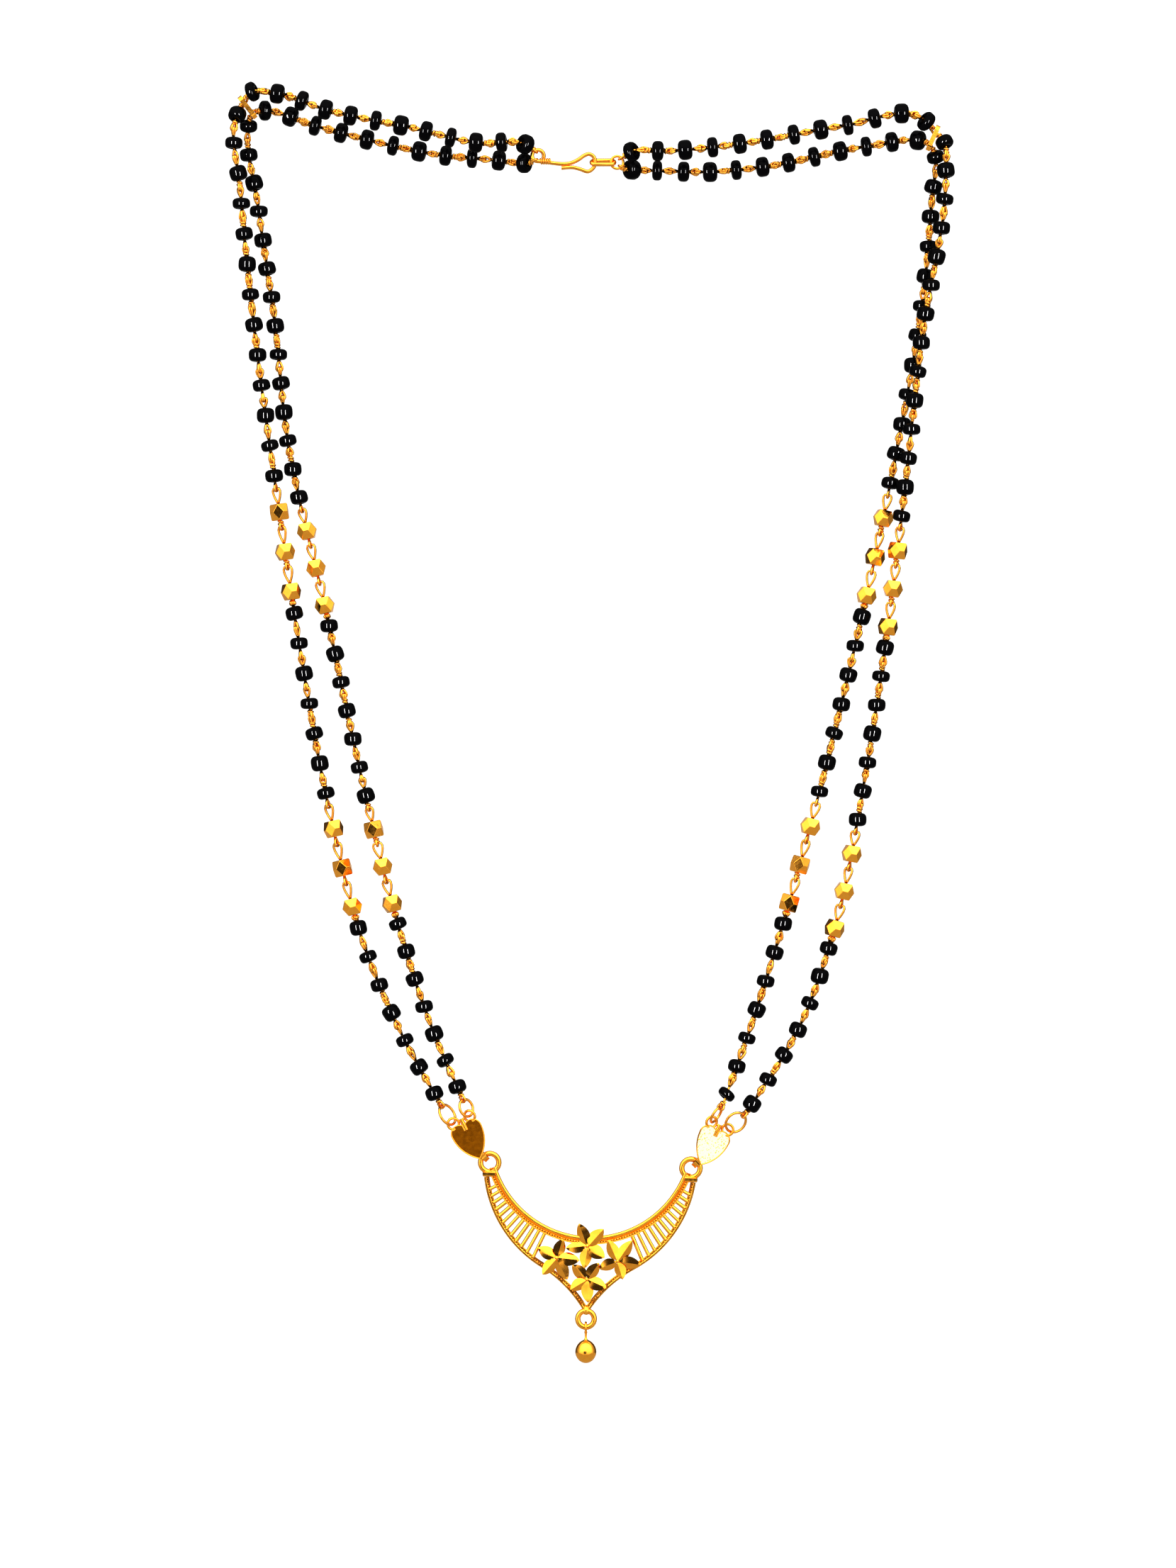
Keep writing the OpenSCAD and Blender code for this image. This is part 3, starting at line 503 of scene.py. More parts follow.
# %% Black glass
GLASS = worn_finish("black_glass", 0.0, (0.0004, 0.00035, 0.0004), (0.0001, 0.0001, 0.0002),
                    420.0, 650.0, (0.03, 0.09), 0.2, 0.0001)
feed(GLASS.node_tree.nodes["Principled BSDF"], {"Specular IOR Level": 0.04})
print("finishes:", [m.name for m in bpy.data.materials if m.use_nodes])

# %% [markdown]
# ## Black glass beads
# A real bead is cut from a drawn glass tube and melted soft, so it is a short barrel with
# round shoulders and a hole. Each could be turned from a profile, but all follow one rule,
# so one tree bends a grid into the barrel and sets a copy on each point, with that point's
# own direction, width and length.

# %% Bead tree: the barrel
WALL_ROWS = 0.857
BEADS, given, result = new_tree("glass_beads", {
    "Hole Share": "Float", "Squareness": "Float", "Around": "Int", "Rows": "Int",
    "Unevenness": "Float", "Finish": "Material"})
grid = add(BEADS, "GeometryNodeMeshGrid", {
    "Size X": 1.0, "Size Y": 1.0, "Vertices X": given["Around"], "Vertices Y": given["Rows"]})
spot = split(add(BEADS, "GeometryNodeInputPosition"))
turn, row = times(spot["X"], 2 * pi), times(spot["Y"], 2.0)
row_size = calc("ABSOLUTE", row)
wall_share = power(calc("MINIMUM", over(row_size, WALL_ROWS), 1.0), 1.25)
bulge = over(2.0, given["Squareness"])
last_angle = calc("ARCCOSINE", power(plus(given["Hole Share"], 0.05), over(1.0, bulge)))
angle = times(wall_share, last_angle)
wall_r, wall_z = power(calc("COSINE", angle), bulge), power(calc("SINE", angle), bulge)
inside = calc("MAXIMUM", over(minus(row_size, WALL_ROWS), 1 - WALL_ROWS), 0.0)
bore_r = minus(wall_r, times(inside, 0.05))
bore_z = times(wall_z, minus(1.0, inside))
barrel = vector(times(bore_r, calc("COSINE", turn)), times(bore_r, calc("SINE", turn)),
                times(bore_z, calc("SIGN", row)))
bent = add(BEADS, "GeometryNodeSetPosition", {"Geometry": grid, "Position": barrel})
closed = add(BEADS, "GeometryNodeMergeByDistance", {"Geometry": bent, "Distance": 0.0005})

# %% Bead tree: uneven copies
half_w, half_l = (times(named(BEADS, name), 0.5 * MM) for name in ("width", "length"))
copies = on_points(given, closed, aimed(BEADS, "Z", "Y"), vector(half_w, half_w, half_l))
real = add(BEADS, "GeometryNodeRealizeInstances", {"Geometry": copies})
ripple = noise(add(BEADS, "GeometryNodeInputPosition"), 380.0, 0.0)
push = add(BEADS, "ShaderNodeVectorMath", {
    0: add(BEADS, "GeometryNodeInputNormal"),
    "Scale": times(minus(ripple, 0.5), given["Unevenness"])}, operation="SCALE")
finish_tree(given, result, add(BEADS, "GeometryNodeSetPosition", {"Geometry": real, "Offset": push}))
BEAD_SIZES = {"Squareness": 3.2, "Around": 17, "Rows": 15, "Unevenness": 0.00016, "Finish": GLASS}


# %% The strings of glass beads
TILT_SHOWN = -1.6
THIN_LAST, THIN_SHARE, THIN_LEAN = "side_beads_right_inner", 0.6, 16.0
glass_pieces = bpy.data.collections.new("glass_pieces")
bpy.context.scene.collection.children.link(glass_pieces)
for s, strand in enumerate(STRANDS):
    for part, line, places, width in (
            ("back_beads_", BACK_LINES[s], BACK_PLACES[s], BACK_BEAD_D),
            ("side_beads_", SIDE_LINES[s], SIDE_PLACES[s], SIDE_BEAD_D)):
        rows = [{"at": line.at(x), "way": swung(line.way(x), TILT_SHOWN * tilt), "width": width,
                 "length": length} for x, length, tilt, kind in places if kind == 0]
        if part + strand == THIN_LAST:
            rows[-1]["length"] *= THIN_SHARE
            rows[-1]["way"] = swung(rows[-1]["way"], THIN_LEAN)
        beads = grow("glass_" + part + strand, BEADS, rows,
                     {**BEAD_SIZES, "Hole Share": 2 * BEAD_HOLE_R / width})
        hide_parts(part + strand)
        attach(beads, "necklace")
        glass_pieces.objects.link(beads)

# %% [markdown]
# ## Wire links between the beads
# The real chain has no thread: each bead sits on its own short wire, whose ends are bent
# to long loops that hook into the next bead's, and the cut end is wound round the neck.
# One tree makes a loop, its straight core through the bead and the winding, as curves that
# get their thickness in the last step.

# %% Link tree
LEAF_HALF_WIDTH = 0.495
LINKS, given, result = new_tree("wire_links", {
    "Wire Radius": "Float", "Loop Points": "Int", "Sides": "Int", "Neck Radius": "Float",
    "Finish": "Material"})
circle = add(LINKS, "GeometryNodeCurvePrimitiveCircle",
             {"Resolution": given["Loop Points"], "Radius": 1.0}, mode="RADIUS")
spot = split(add(LINKS, "GeometryNodeInputPosition"))
rise = times(minus(1.0, spot["X"]), 0.5)
leaf_x = times(calc("SIGN", spot["Y"]), times(rise, power(minus(1.0, rise), 0.3)))
leaf = add(LINKS, "GeometryNodeSetPosition", {"Geometry": circle, "Position": vector(leaf_x, 0.0, rise)})
aim = aimed(LINKS, "Z", "X", named(LINKS, "side", "FLOAT_VECTOR"))
reach, core = (times(named(LINKS, name), MM) for name in ("reach", "core"))
spread = times(named(LINKS, "spread"), MM / LEAF_HALF_WIDTH)
loops = on_points(given, leaf, aim, vector(spread, spread, reach))
pin = add(LINKS, "GeometryNodeCurvePrimitiveLine", {"Start": (0.0, 0.0, 0.04), "End": (0.0, 0.0, -1.0)})
cores = on_points(given, pin, aim, core)
coil = add(LINKS, "GeometryNodeCurveSpiral", {
    "Resolution": 7, "Rotations": 1.8, "Start Radius": 1.0, "End Radius": 1.2, "Height": 2.6})
wound = add(LINKS, "FunctionNodeCompare", {"A": named(LINKS, "wound"), "B": 0.5}, operation="GREATER_THAN")
windings = on_points(given, coil, aim, given["Neck Radius"], Selection=wound)
joined = add(LINKS, "GeometryNodeJoinGeometry")
for source in (loops, cores, windings):
    feed(joined, {0: source})
real = add(LINKS, "GeometryNodeRealizeInstances", {"Geometry": joined})
section = add(LINKS, "GeometryNodeCurvePrimitiveCircle", {
    "Resolution": given["Sides"], "Radius": given["Wire Radius"]}, mode="RADIUS")
thick = add(LINKS, "GeometryNodeSetCurveRadius", {"Curve": real, "Radius": named(LINKS, "thick")})
finish_tree(given, result, add(LINKS, "GeometryNodeCurveToMesh", {
    "Curve": thick, "Profile Curve": section, "Fill Caps": True}))

# %% Where each loop hangs
LINK_WIRE, LINK_THICK, WIDE_THICK, WIDE_LOOP = 0.22, 1.15, 1.1, 0.62
LINK_SEED = 40


def loop_row(start, end, side, spread, core, wound, extra, thick=LINK_THICK):
    way = unit(end - start)
    return {"at": start, "way": way, "side": unit(side - (side @ way) * way), "spread": spread,
            "reach": np.linalg.norm(end - start) + extra, "core": core, "wound": wound, "thick": thick}


def gap_rows(line, p, q, angle, wound, slim, wide, share):
    """Two loops that hook into each other at a share of the gap between two beads."""
    x0, x1 = p[0] + p[1] / 2, q[0] - q[1] / 2
    a, b, mid = line.at(x0), line.at(x1), line.at(x0 * (1 - share) + x1 * share)
    flat = unit(np.cross(unit(b - a), FAR))
    t = radians(angle)
    one = cos(t) * flat + sin(t) * FAR
    two = -sin(t) * flat + cos(t) * FAR
    hook_in = 1.3 * LINK_WIRE
    return [loop_row(a, mid, one, slim, p[1] / 2, wound[0], hook_in),
            loop_row(b, mid, two, wide, q[1] / 2, wound[1], hook_in,
                     WIDE_THICK if wide > WIDE_LOOP else LINK_THICK)]


def end_row(line, bead, end, target, side, spread, extra):
    """The wound loop that holds a stretch's first (-1) or last (1) bead to something else."""
    half = bead[1] / 2
    return loop_row(line.at(bead[0] + end * half), target, side, spread, half, True, extra)


def strand_rows(s, rng):
    """All loops of a strand. Most gaps get a second, smaller pair."""
    back, side = BACK_LINES[s], SIDE_LINES[s]
    b, d = BACK_PLACES[s], SIDE_PLACES[s]
    rows = [end_row(back, b[0], -1, clasp_eye(s), FAR, 0.52, 0.47)]
    for line, places in ((back, b), (side, d)):
        for p, q in zip(places, places[1:]):
            to_gold = q[3]
            slim = rng.uniform(0.46, 0.58)
            wide = rng.uniform(0.65, 0.8) if to_gold else rng.uniform(0.46, 0.62)
            share = 0.34 if to_gold else rng.uniform(0.44, 0.56)
            angle = rng.uniform(60, 85) if to_gold else rng.uniform(-80, 80)
            wound = (rng.random() < 0.35, rng.random() < 0.35 and not to_gold)
            rows += gap_rows(line, p, q, angle, wound, slim, wide, share)
            if not to_gold:
                twin = gap_rows(line, p, q, angle + rng.uniform(35, 60), (False, False),
                                slim * rng.uniform(0.6, 0.9), wide * rng.uniform(0.6, 0.9), share)
                rows += [{**row, "core": 0.01} for row in twin]
    tie = side.at(0.0)
    across = unit(np.cross(side.way(0.5), FAR))
    way, t = fan(JUMP_RINGS[s][3]), radians(JUMP_RINGS[s][4])
    wire = cos(t) * np.cross(FAR, way) + sin(t) * FAR
    return rows + [
        end_row(back, b[-1], 1, tie, across, 0.4, 0.2),
        end_row(side, d[0], -1, tie, FAR, 0.36, 0.2),
        end_row(side, d[-1], 1, ring_far(s), np.cross(wire, way), 0.52, 0.45)]


# %% The four chains
for s, strand in enumerate(STRANDS):
    chain = grow("wire_links_" + strand, LINKS, strand_rows(s, np.random.default_rng(LINK_SEED + s)), {
        "Wire Radius": LINK_WIRE * MM, "Loop Points": 14, "Sides": 5, "Neck Radius": 0.33 * MM,
        "Finish": WIRE_GOLD})
    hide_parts("back_thread_" + strand, "side_thread_" + strand)
    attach(chain, "necklace")

# %% [markdown]
# ## Gold beads
# The gold beads are struck and faceted, with edges that a tumbler has softened. The solids
# already have the facets, so a copy of each is merged and its edges are rounded a little:
# a thin bright line on every edge is what tells the eye that this is metal.

# %% Rounded copies of solids
def welded_copy(name, nodes, finish, edge, flat_angle=1.0, sharp=30.0, smooth=8.0):
    bm = bmesh.new()
    for node_name in nodes:
        source = frame["nodes"][node_name]
        start = len(bm.verts)
        bm.from_mesh(source.data)
        bm.verts.ensure_lookup_table()
        for v in bm.verts[start:]:
            v.co = source.matrix_world @ v.co
    bmesh.ops.remove_doubles(bm, verts=bm.verts, dist=1e-6)
    bmesh.ops.dissolve_limit(bm, angle_limit=radians(flat_angle), verts=bm.verts, edges=bm.edges)
    made = linked(name, bpy.data.meshes.new(name))
    bm.to_mesh(made.data)
    bm.free()
    made.data.materials.append(finish)
    made.data.polygons.foreach_set("material_index", [0] * len(made.data.polygons))
    bevel = made.modifiers.new("soft_edges", "BEVEL")
    bevel.width = edge * MM
    bevel.limit_method = "ANGLE"
    bevel.angle_limit = radians(sharp)
    bpy.context.view_layer.update()
    done = bpy.data.meshes.new_from_object(made.evaluated_get(bpy.context.evaluated_depsgraph_get()))
    made.modifiers.clear()
    done.shade_smooth()
    done.set_sharp_from_angle(angle=radians(smooth))
    made.data = done
    print(name, "faces:", len(done.polygons))
    return made


for strand in STRANDS:
    nodes = ["gold_bead_%s_%d" % (strand, i) for i in range(1, 7)]
    beads = welded_copy("gold_beads_" + strand, nodes, GOLD, 0.045)
    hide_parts(*nodes)
    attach(beads, "necklace")

# %% [markdown]
# ## Sweeping a section along a path
# The pendant and the clasp are bent from wire and strip. A helper carries a cross-section
# along a path and keeps its depth axis square to the view, so a strip never twists.

# %% Sweep and lathe
def band_faces(a, b, k):
    """The faces between two rings of k points that start at a and b."""
    return [[a + j, a + (j + 1) % k, b + (j + 1) % k, b + j] for j in range(k)]


def shell_faces(rings, k):
    """The faces over a first point, rings of k points each and a last point."""
    top = 1 + (rings - 1) * k
    faces = [[0, 1 + (j + 1) % k, 1 + j] for j in range(k)]
    for a in range(1, top, k):
        faces += band_faces(a, a + k, k)
    return faces + [[top + j, top + (j + 1) % k, top + k] for j in range(k)]


class Shape:
    """A growing list of points and faces, for pieces that are made of several parts."""

    def __init__(self):
        self.points, self.faces = [], []

    def take(self, points, faces):
        base = len(self.points)
        self.points += points
        self.faces += [[base + i for i in f] for f in faces]

    def sweep(self, path, section, ups=None, closed=False):
        """section: (side, depth) pairs. The depth axis follows ups, or is carried along the path."""
        n = len(path)
        points = []
        up = None
        for i in range(n):
            after, before = ((i + 1) % n, i - 1) if closed else (min(i + 1, n - 1), max(i - 1, 0))
            way = unit(path[after] - path[before])
            if ups is not None:
                up = ups
            elif up is None:
                up = FAR if abs(way[1]) < 0.8 else UP
            up = unit(up - (up @ way) * way)
            side = np.cross(way, up)
            here = section(i / (n - 1)) if callable(section) else section
            points += [path[i] + side * u + up * v for u, v in here]
            k = len(here)
        faces = []
        for i in range(n if closed else n - 1):
            faces += band_faces(i * k, ((i + 1) % n) * k, k)
        if not closed:
            faces += [list(range(k))[::-1], [(n - 1) * k + j for j in range(k)]]
        self.take(points, faces)

    def lathe(self, centre, profile, sides):
        """profile: (radius, height) pairs from bottom to top, the first and last on the axis."""
        points = [centre + UP * profile[0][1]]
        for r, z in profile[1:-1]:
            points += [centre + np.array([x, y, z]) for x, y in disc(r, sides)]
        points.append(centre + UP * profile[-1][1])
        self.take(points, shell_faces(len(profile) - 2, sides))

    def piece(self, name, finish, body, nodes, sharp=35.0):
        """A mesh with faces outwards, smooth except at edges sharper than the angle."""
        mesh = bpy.data.meshes.new(name)
        mesh.from_pydata([tuple(p * MM) for p in self.points], [], self.faces)
        mesh.materials.append(finish)
        bm = bmesh.new()
        bm.from_mesh(mesh)
        bmesh.ops.recalc_face_normals(bm, faces=bm.faces)
        bm.to_mesh(mesh)
        bm.free()
        mesh.shade_smooth()
        mesh.set_sharp_from_angle(angle=radians(sharp))
        made = linked(name, mesh)
        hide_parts(*nodes)
        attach(made, body)
        print(name, "faces:", len(self.faces))


# %% Cross-sections
def disc(r, sides=10, side=0.0, depth=0.0):
    return [(side + r * cos(2 * pi * j / sides), depth + r * sin(2 * pi * j / sides))
            for j in range(sides)]


def soft_box(width, depth, edge, side=0.0, middle=0.0):
    a, b = width / 2, depth / 2
    corners = [(a - edge, b), (a, b - edge), (a, edge - b), (a - edge, -b),
               (edge - a, -b), (-a, edge - b), (-a, b - edge), (edge - a, b)]
    return [(side + u, middle + v) for u, v in corners][::-1]


# %% [markdown]
# ## The crescent's frame
# The crescent is cast from a wax of wires: a round rail and a milled strip along the upper
# edge, a double wire with a milled line along the lower edge, and thin rungs between them.
# The arcs come from the same few sizes as the solid's.

# %% Arcs of the crescent
def dial(a):
    return np.array([cos(a), sin(a)])


band_top_x = HALF_W - CAP_W / 2 - RAIL_D / 2
band_top_z = ARM_H + 2.1 * CAP_H
BAND_R = (band_top_x ** 2 + band_top_z ** 2) / (2 * band_top_z)
BAND_END = math.degrees(math.atan2(band_top_x, BAND_R - band_top_z))
END_LEAN, POINT_LEAN = radians(7.8), radians(31.5)
BELLY_R = 0.385 * CRESCENT_W + 0.3 * (ARM_H + POINT_DROP)
RAIL_TOP, POINT_TIP = np.array([HALF_W, ARM_H]), np.array([0.0, -POINT_DROP])
BELLY_MID = RAIL_TOP - BELLY_R * dial(-END_LEAN)
flare_dir = dial(-POINT_LEAN)
flare_gap = POINT_TIP - BELLY_MID
FLARE_R = (flare_gap @ flare_gap - BELLY_R ** 2) / (2 * (BELLY_R - flare_dir @ flare_gap))
FLARE_MID = POINT_TIP + FLARE_R * flare_dir
RAIL_JOINT = BELLY_MID + BELLY_R * unit(FLARE_MID - BELLY_MID)
JOINT_ANGLE = math.degrees(math.atan2(RAIL_JOINT[0], BAND_R - RAIL_JOINT[1]))
RAIL_STEP = 0.6


def band_point(degrees, out=0.0, depth=0.0):
    a = radians(degrees)
    r = BAND_R + out
    return on_pendant(r * sin(a), depth, BAND_R - r * cos(a))


def arc(mid, r, out, first, last):
    """Points round mid from one place to another, moved away from it by out."""
    a, b = (math.atan2(p[1] - mid[1], p[0] - mid[0]) for p in (first, last))
    n = max(2, round(r * abs(b - a) / RAIL_STEP))
    return [mid + (r + out) * dial(a + (b - a) * i / n) for i in range(n + 1)]


def rail_path(side, offset=0.0, depth=0.0):
    """Points of the lower rail from the end ring to the point, moved outwards by offset."""
    belly = arc(BELLY_MID, BELLY_R, offset, RAIL_TOP, RAIL_JOINT)
    flare = arc(FLARE_MID, FLARE_R, -offset, RAIL_JOINT, POINT_TIP)
    return [on_pendant(side * x, depth, z) for x, z in belly[:-1] + flare]


print("upper arc radius %.2f mm to %.1f degrees, belly %.2f, flare %.2f"
      % (BAND_R, BAND_END, BELLY_R, FLARE_R))

# %% Band and rails
rails = Shape()
band_line = [band_point(a) for a in np.linspace(-BAND_END, BAND_END, 97)]
for section in (disc(0.37, 12, -0.33, -0.16), soft_box(0.56, 1.0, 0.18, -0.33, 0.08),
                soft_box(0.66, 0.95, 0.22, -0.98, 0.0), disc(0.1, 8, -1.26, -0.44)):
    rails.sweep(band_line, section, FAR)
for side in (-1, 1):
    for offset, wire_r in ((0.2, 0.24), (-0.3, 0.17)):
        rails.sweep(rail_path(side, offset), disc(wire_r, 10))
    rails.sweep(rail_path(side), soft_box(0.5, 0.3, 0.05), FAR)
rails.piece("crescent_rails", CAST_GOLD, "pendant", ["pendant"])

# %% [markdown]
# ## Milled grains
# Rows of tiny grains catch the light along the strip and between the two lower wires. On
# the real piece a milling wheel rolls them. A tree sets one half-sunk ball on each of its
# points. A bump texture alone would stay flat at the edges, so the grains are real.

# %% Grain tree
GRAINS, given, result = new_tree("milled_grains", {
    "Grain Radius": "Float", "Segments": "Int", "Rings": "Int", "Finish": "Material"})
ball = add(GRAINS, "GeometryNodeMeshUVSphere", {
    "Segments": given["Segments"], "Rings": given["Rings"], "Radius": given["Grain Radius"]})
aim = aimed(GRAINS, "X", "Y")
finish_tree(given, result, on_points(given, ball, aim, named(GRAINS, "size", "FLOAT_VECTOR")))

# %% Grains along the strip and the rails
GRAIN_PITCH, GRAIN_SEED = 0.46, 7
grain_rows = []
rng = np.random.default_rng(GRAIN_SEED)


def lay_grain(at, way, size, least):
    grain_rows.append({"at": at, "way": way, "size": np.array(size) * rng.uniform(least, 1.1)})


count = int(2 * radians(BAND_END) * (BAND_R + 1.0) / GRAIN_PITCH)
for a in np.linspace(-BAND_END, BAND_END, count + 1):
    lay_grain(band_point(a, 1.0, -0.46), band_point(a + 1) - band_point(a - 1), (1.1, 0.8, 1.0), 0.7)
for side in (-1, 1):
    line = Line(rail_path(side, -0.05, -0.1))
    for i in range(int(line.length / GRAIN_PITCH)):
        x = (i + 0.5) * GRAIN_PITCH
        lay_grain(line.at(x), line.way(x), (1.2, 0.9, 0.8), 0.6)
grains = grow("milled_grains", GRAINS, grain_rows, {
    "Grain Radius": 0.15 * MM, "Segments": 7, "Rings": 5, "Finish": CAST_GOLD})
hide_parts("pendant")
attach(grains, "pendant")

# %% [markdown]
# ## Rungs, caps and rings
# Thin rungs tie the two edges of the crescent in even steps, some thicker than others. A
# cap and a ring close each end, and a smaller ring hangs at the point.

# %% Rungs, caps, rings
RUNGS, RUNG_R, RUNG_CHANGE = 12, 0.31, 0.03
END_WIRE_MORE, TIP_WIRE_MORE = 0.1, 0.08
CAP_STEPS = (-1.0, -0.9, 0.9, 1.0)


def belly_hit(degrees):
    a = radians(degrees)
    way = np.array([sin(a), -cos(a)])
    off = BELLY_MID - np.array([0.0, BAND_R])
    b = way @ off
    return b + math.sqrt(b * b - off @ off + BELLY_R ** 2)


def cap_section(t):
    middle = 0.1 < t < 0.9
    return soft_box(CAP_H + (0.1 if middle else -0.3), 1.5 if middle else 1.1, 0.26)


def ring_path(centre, r, across, sides):
    """A round ring that lies in the plane of the upright and a second direction."""
    return [centre + r * (across * cos(a) + UP * sin(a))
            for a in np.linspace(0, 2 * pi, sides, endpoint=False)]


fittings = Shape()
first_rung, last_rung = JOINT_ANGLE + 4.7, BAND_END - 10
for side in (-1, 1):
    for i, a in enumerate(np.linspace(first_rung, last_rung, RUNGS)):
        start, end = band_point(side * a, 1.0), band_point(side * a, belly_hit(a) - BAND_R - 0.2)
        wire_r = RUNG_R + RUNG_CHANGE * sin(5.0 * i + side)
        fittings.sweep([start, (start + end) / 2, end], disc(wire_r, 8), FAR)
    cap_mid = on_pendant(side * END_RING_X, 0.0, ARM_H + CAP_H / 2 + 0.1)
    half = swung(RIGHT, PENDANT_SLANT) * (CAP_W / 2)
    fittings.sweep([cap_mid + t * half for t in CAP_STEPS], cap_section, FAR)
    centre = on_pendant(side * END_RING_X, 0.0, END_RING_Z)
    fittings.sweep(ring_path(centre, END_RING_R, RIGHT, 28),
                   disc(END_WIRE_R + END_WIRE_MORE, 12), closed=True)
tip_centre = on_pendant(0, 0, -POINT_DROP - TIP_RING_R)
fittings.sweep(ring_path(tip_centre, TIP_RING_R, RIGHT, 28),
               disc(TIP_WIRE_R + TIP_WIRE_MORE, 12), closed=True)
fittings.lathe(on_pendant(0, 0, -POINT_DROP), [
    (0, -0.75), (0.42, -0.6), (0.58, -0.2), (0.55, 0.3), (0.3, 0.8), (0, 1.0)], 14)
fittings.piece("crescent_fittings", CAST_GOLD, "pendant", ["pendant"])

# %% [markdown]
# ## Four flowers
# Each flower is five folded leaves of thin gold, soldered to the frame. Their halves face
# different ways, so one shines and the other mirrors the dark room. A table holds each
# petal's direction, length, width, lean and fold, because none is like the next.

# %% Petals
FLOWERS = [
    ((-0.1, -1.6), [(111, 3.9, 2.2, 15, 0.36), (50, 3.8, 2.3, -10, 0.6), (188, 3.5, 2.0, -14, 0.4),
                    (-33, 3.3, 2.4, 13, 0.3), (-98, 3.6, 2.1, 8, 0.6)]),
    ((-5.25, -3.75), [(76, 3.2, 2.1, -14, 0.36), (153, 3.4, 2.2, -13, 0.33), (-5, 3.7, 2.3, 14, 0.36),
                      (230, 3.5, 2.1, 6, 0.6), (-61, 3.9, 2.2, -14, 0.4)]),
    ((5.05, -4.0), [(115, 3.7, 2.1, 4, 0.6), (57, 4.1, 2.1, -4, 0.6), (-6, 3.8, 2.2, -14, 0.36),
                    (-71, 3.0, 2.0, -12, 0.5), (202, 3.2, 2.1, 13, 0.4)]),
    ((-0.05, -7.25), [(57, 3.3, 2.1, -14, 0.5), (135, 3.3, 2.2, 14, 0.33), (212, 3.1, 2.1, 6, 0.6),
                      (-23, 3.4, 2.3, 14, 0.34), (-86, 3.7, 2.1, 4, 0.6)]),
]
PETAL_ROWS = 10
PETAL_COLUMNS = (-1.0, -0.5, 0.0, 0.5, 1.0)
PETAL_ROOT, PETAL_T = 0.2, 0.22


def petal(shape, centre, direction, length, width, lean, keel):
    """A folded leaf from its root outwards, closed at the back."""
    along, across = fan(direction), fan(direction + 90)
    t_lean = radians(lean)
    wide = across * cos(t_lean) + FAR * sin(t_lean)
    front = -FAR * cos(t_lean) + across * sin(t_lean)
    slope = 0.75 * keel
    points = [centre + along * PETAL_ROOT + front * slope * width / 2]
    for i in range(1, PETAL_ROWS):
        t = i / PETAL_ROWS
        half = width / 2 * sin(pi * t ** 0.85) ** 0.72
        spine = centre + along * (PETAL_ROOT + length * t)
        for c in PETAL_COLUMNS:
            height = slope * (width / 2 - abs(c) * half) + 0.5 * (t - 0.45) ** 2
            points.append(spine + wide * half * c + front * height)
        points.append(spine - front * PETAL_T)
    points.append(centre + along * (PETAL_ROOT + length) + front * slope * width / 2)
    shape.take(points, shell_faces(PETAL_ROWS - 1, len(PETAL_COLUMNS) + 1))


flowers = Shape()
for (x, z), petals in FLOWERS:
    centre = on_pendant(x, -0.62, z)
    for direction, length, width, lean, keel in petals:
        petal(flowers, centre, direction - PENDANT_SLANT, length, width, lean, keel)
    flowers.lathe(centre - 0.1 * FAR, [(0, -0.42), (0.26, -0.32), (0.4, 0), (0.26, 0.32), (0, 0.42)], 10)
flowers.piece("flowers", LEAF_GOLD, "pendant", ["pendant"], 28.0)

# %% [markdown]
# ## The drop
# An egg-shaped ball is soldered to a thin stem, and the stem's loop hangs in the ring at
# the crescent's point. A turned profile gives the soft shoulder between stem and ball.

# %% Drop
BALL_R, DROP_LOOP_R, DROP_WIRE_R, STEM_L = 1.8, 0.8, 0.2, 1.5
EGG, BALL_ROWS = 1.1, 22
drop_top = on_pendant(0, 0, -POINT_DROP - 2 * TIP_RING_R)
drop_shape = Shape()
drop_shape.sweep(ring_path(drop_top, DROP_LOOP_R, FAR, 22), disc(DROP_WIRE_R, 10), closed=True)
ball_z = -DROP_LOOP_R - STEM_L - BALL_R
profile = [(0, ball_z - BALL_R * EGG)]
for i in range(1, BALL_ROWS):
    a = -pi / 2 + pi * i / BALL_ROWS
    narrow = 1 - 0.06 * max(0.0, sin(a))
    profile.append((BALL_R * cos(a) * narrow, ball_z + BALL_R * sin(a) * EGG))
profile = [p for p in profile if not (p[1] > ball_z and p[0] < 0.3)]
profile += [(0.28, ball_z + BALL_R * 1.13), (0.19, ball_z + BALL_R * 1.3), (0.2, -DROP_LOOP_R - 0.3),
            (0.26, -DROP_LOOP_R - 0.1), (0.22, -DROP_LOOP_R + 0.12), (0, -DROP_LOOP_R + 0.18)]
drop_shape.lathe(drop_top, profile, 40)
drop_shape.piece("ball_drop", GOLD, "pendant", ["drop"], 60.0)

# %% [markdown]
# ## Hearts
# The heart plates are cut from sheet and their rims are rubbed smooth. The left one turns
# a little away and mirrors the dark room, and its face has a darker, redder gold as painted
# shade. The right one is turned to the light and frosted, with a pale painted sheen. Their
# solids have the right shape, so each is a rounded copy with its own finish.

# %% Heart plates and loops
def front_faces(mesh, middle, way):
    """The flat faces in one plane, given in millimetres."""
    return [f for f in mesh.polygons if np.array(f.normal) @ way > 0.99
            and abs((np.array(f.center) / MM - middle) @ way) < 0.03]


def edge_loop(mesh, faces):
    """The longest closed line round some faces, in millimetres."""
    used = Counter(key for f in faces for key in f.edge_keys)
    after = defaultdict(list)
    for a, b in [key for key, count in used.items() if count == 1]:
        after[a].append(b)
        after[b].append(a)
    best = []
    while after:
        here, loop = next(iter(after)), []
        while here in after:
            loop.append(here)
            here = next((v for v in after.pop(here) if v in after), None)
        best = max(best, loop, key=len)
    return [np.array(mesh.vertices[i].co) / MM for i in best]


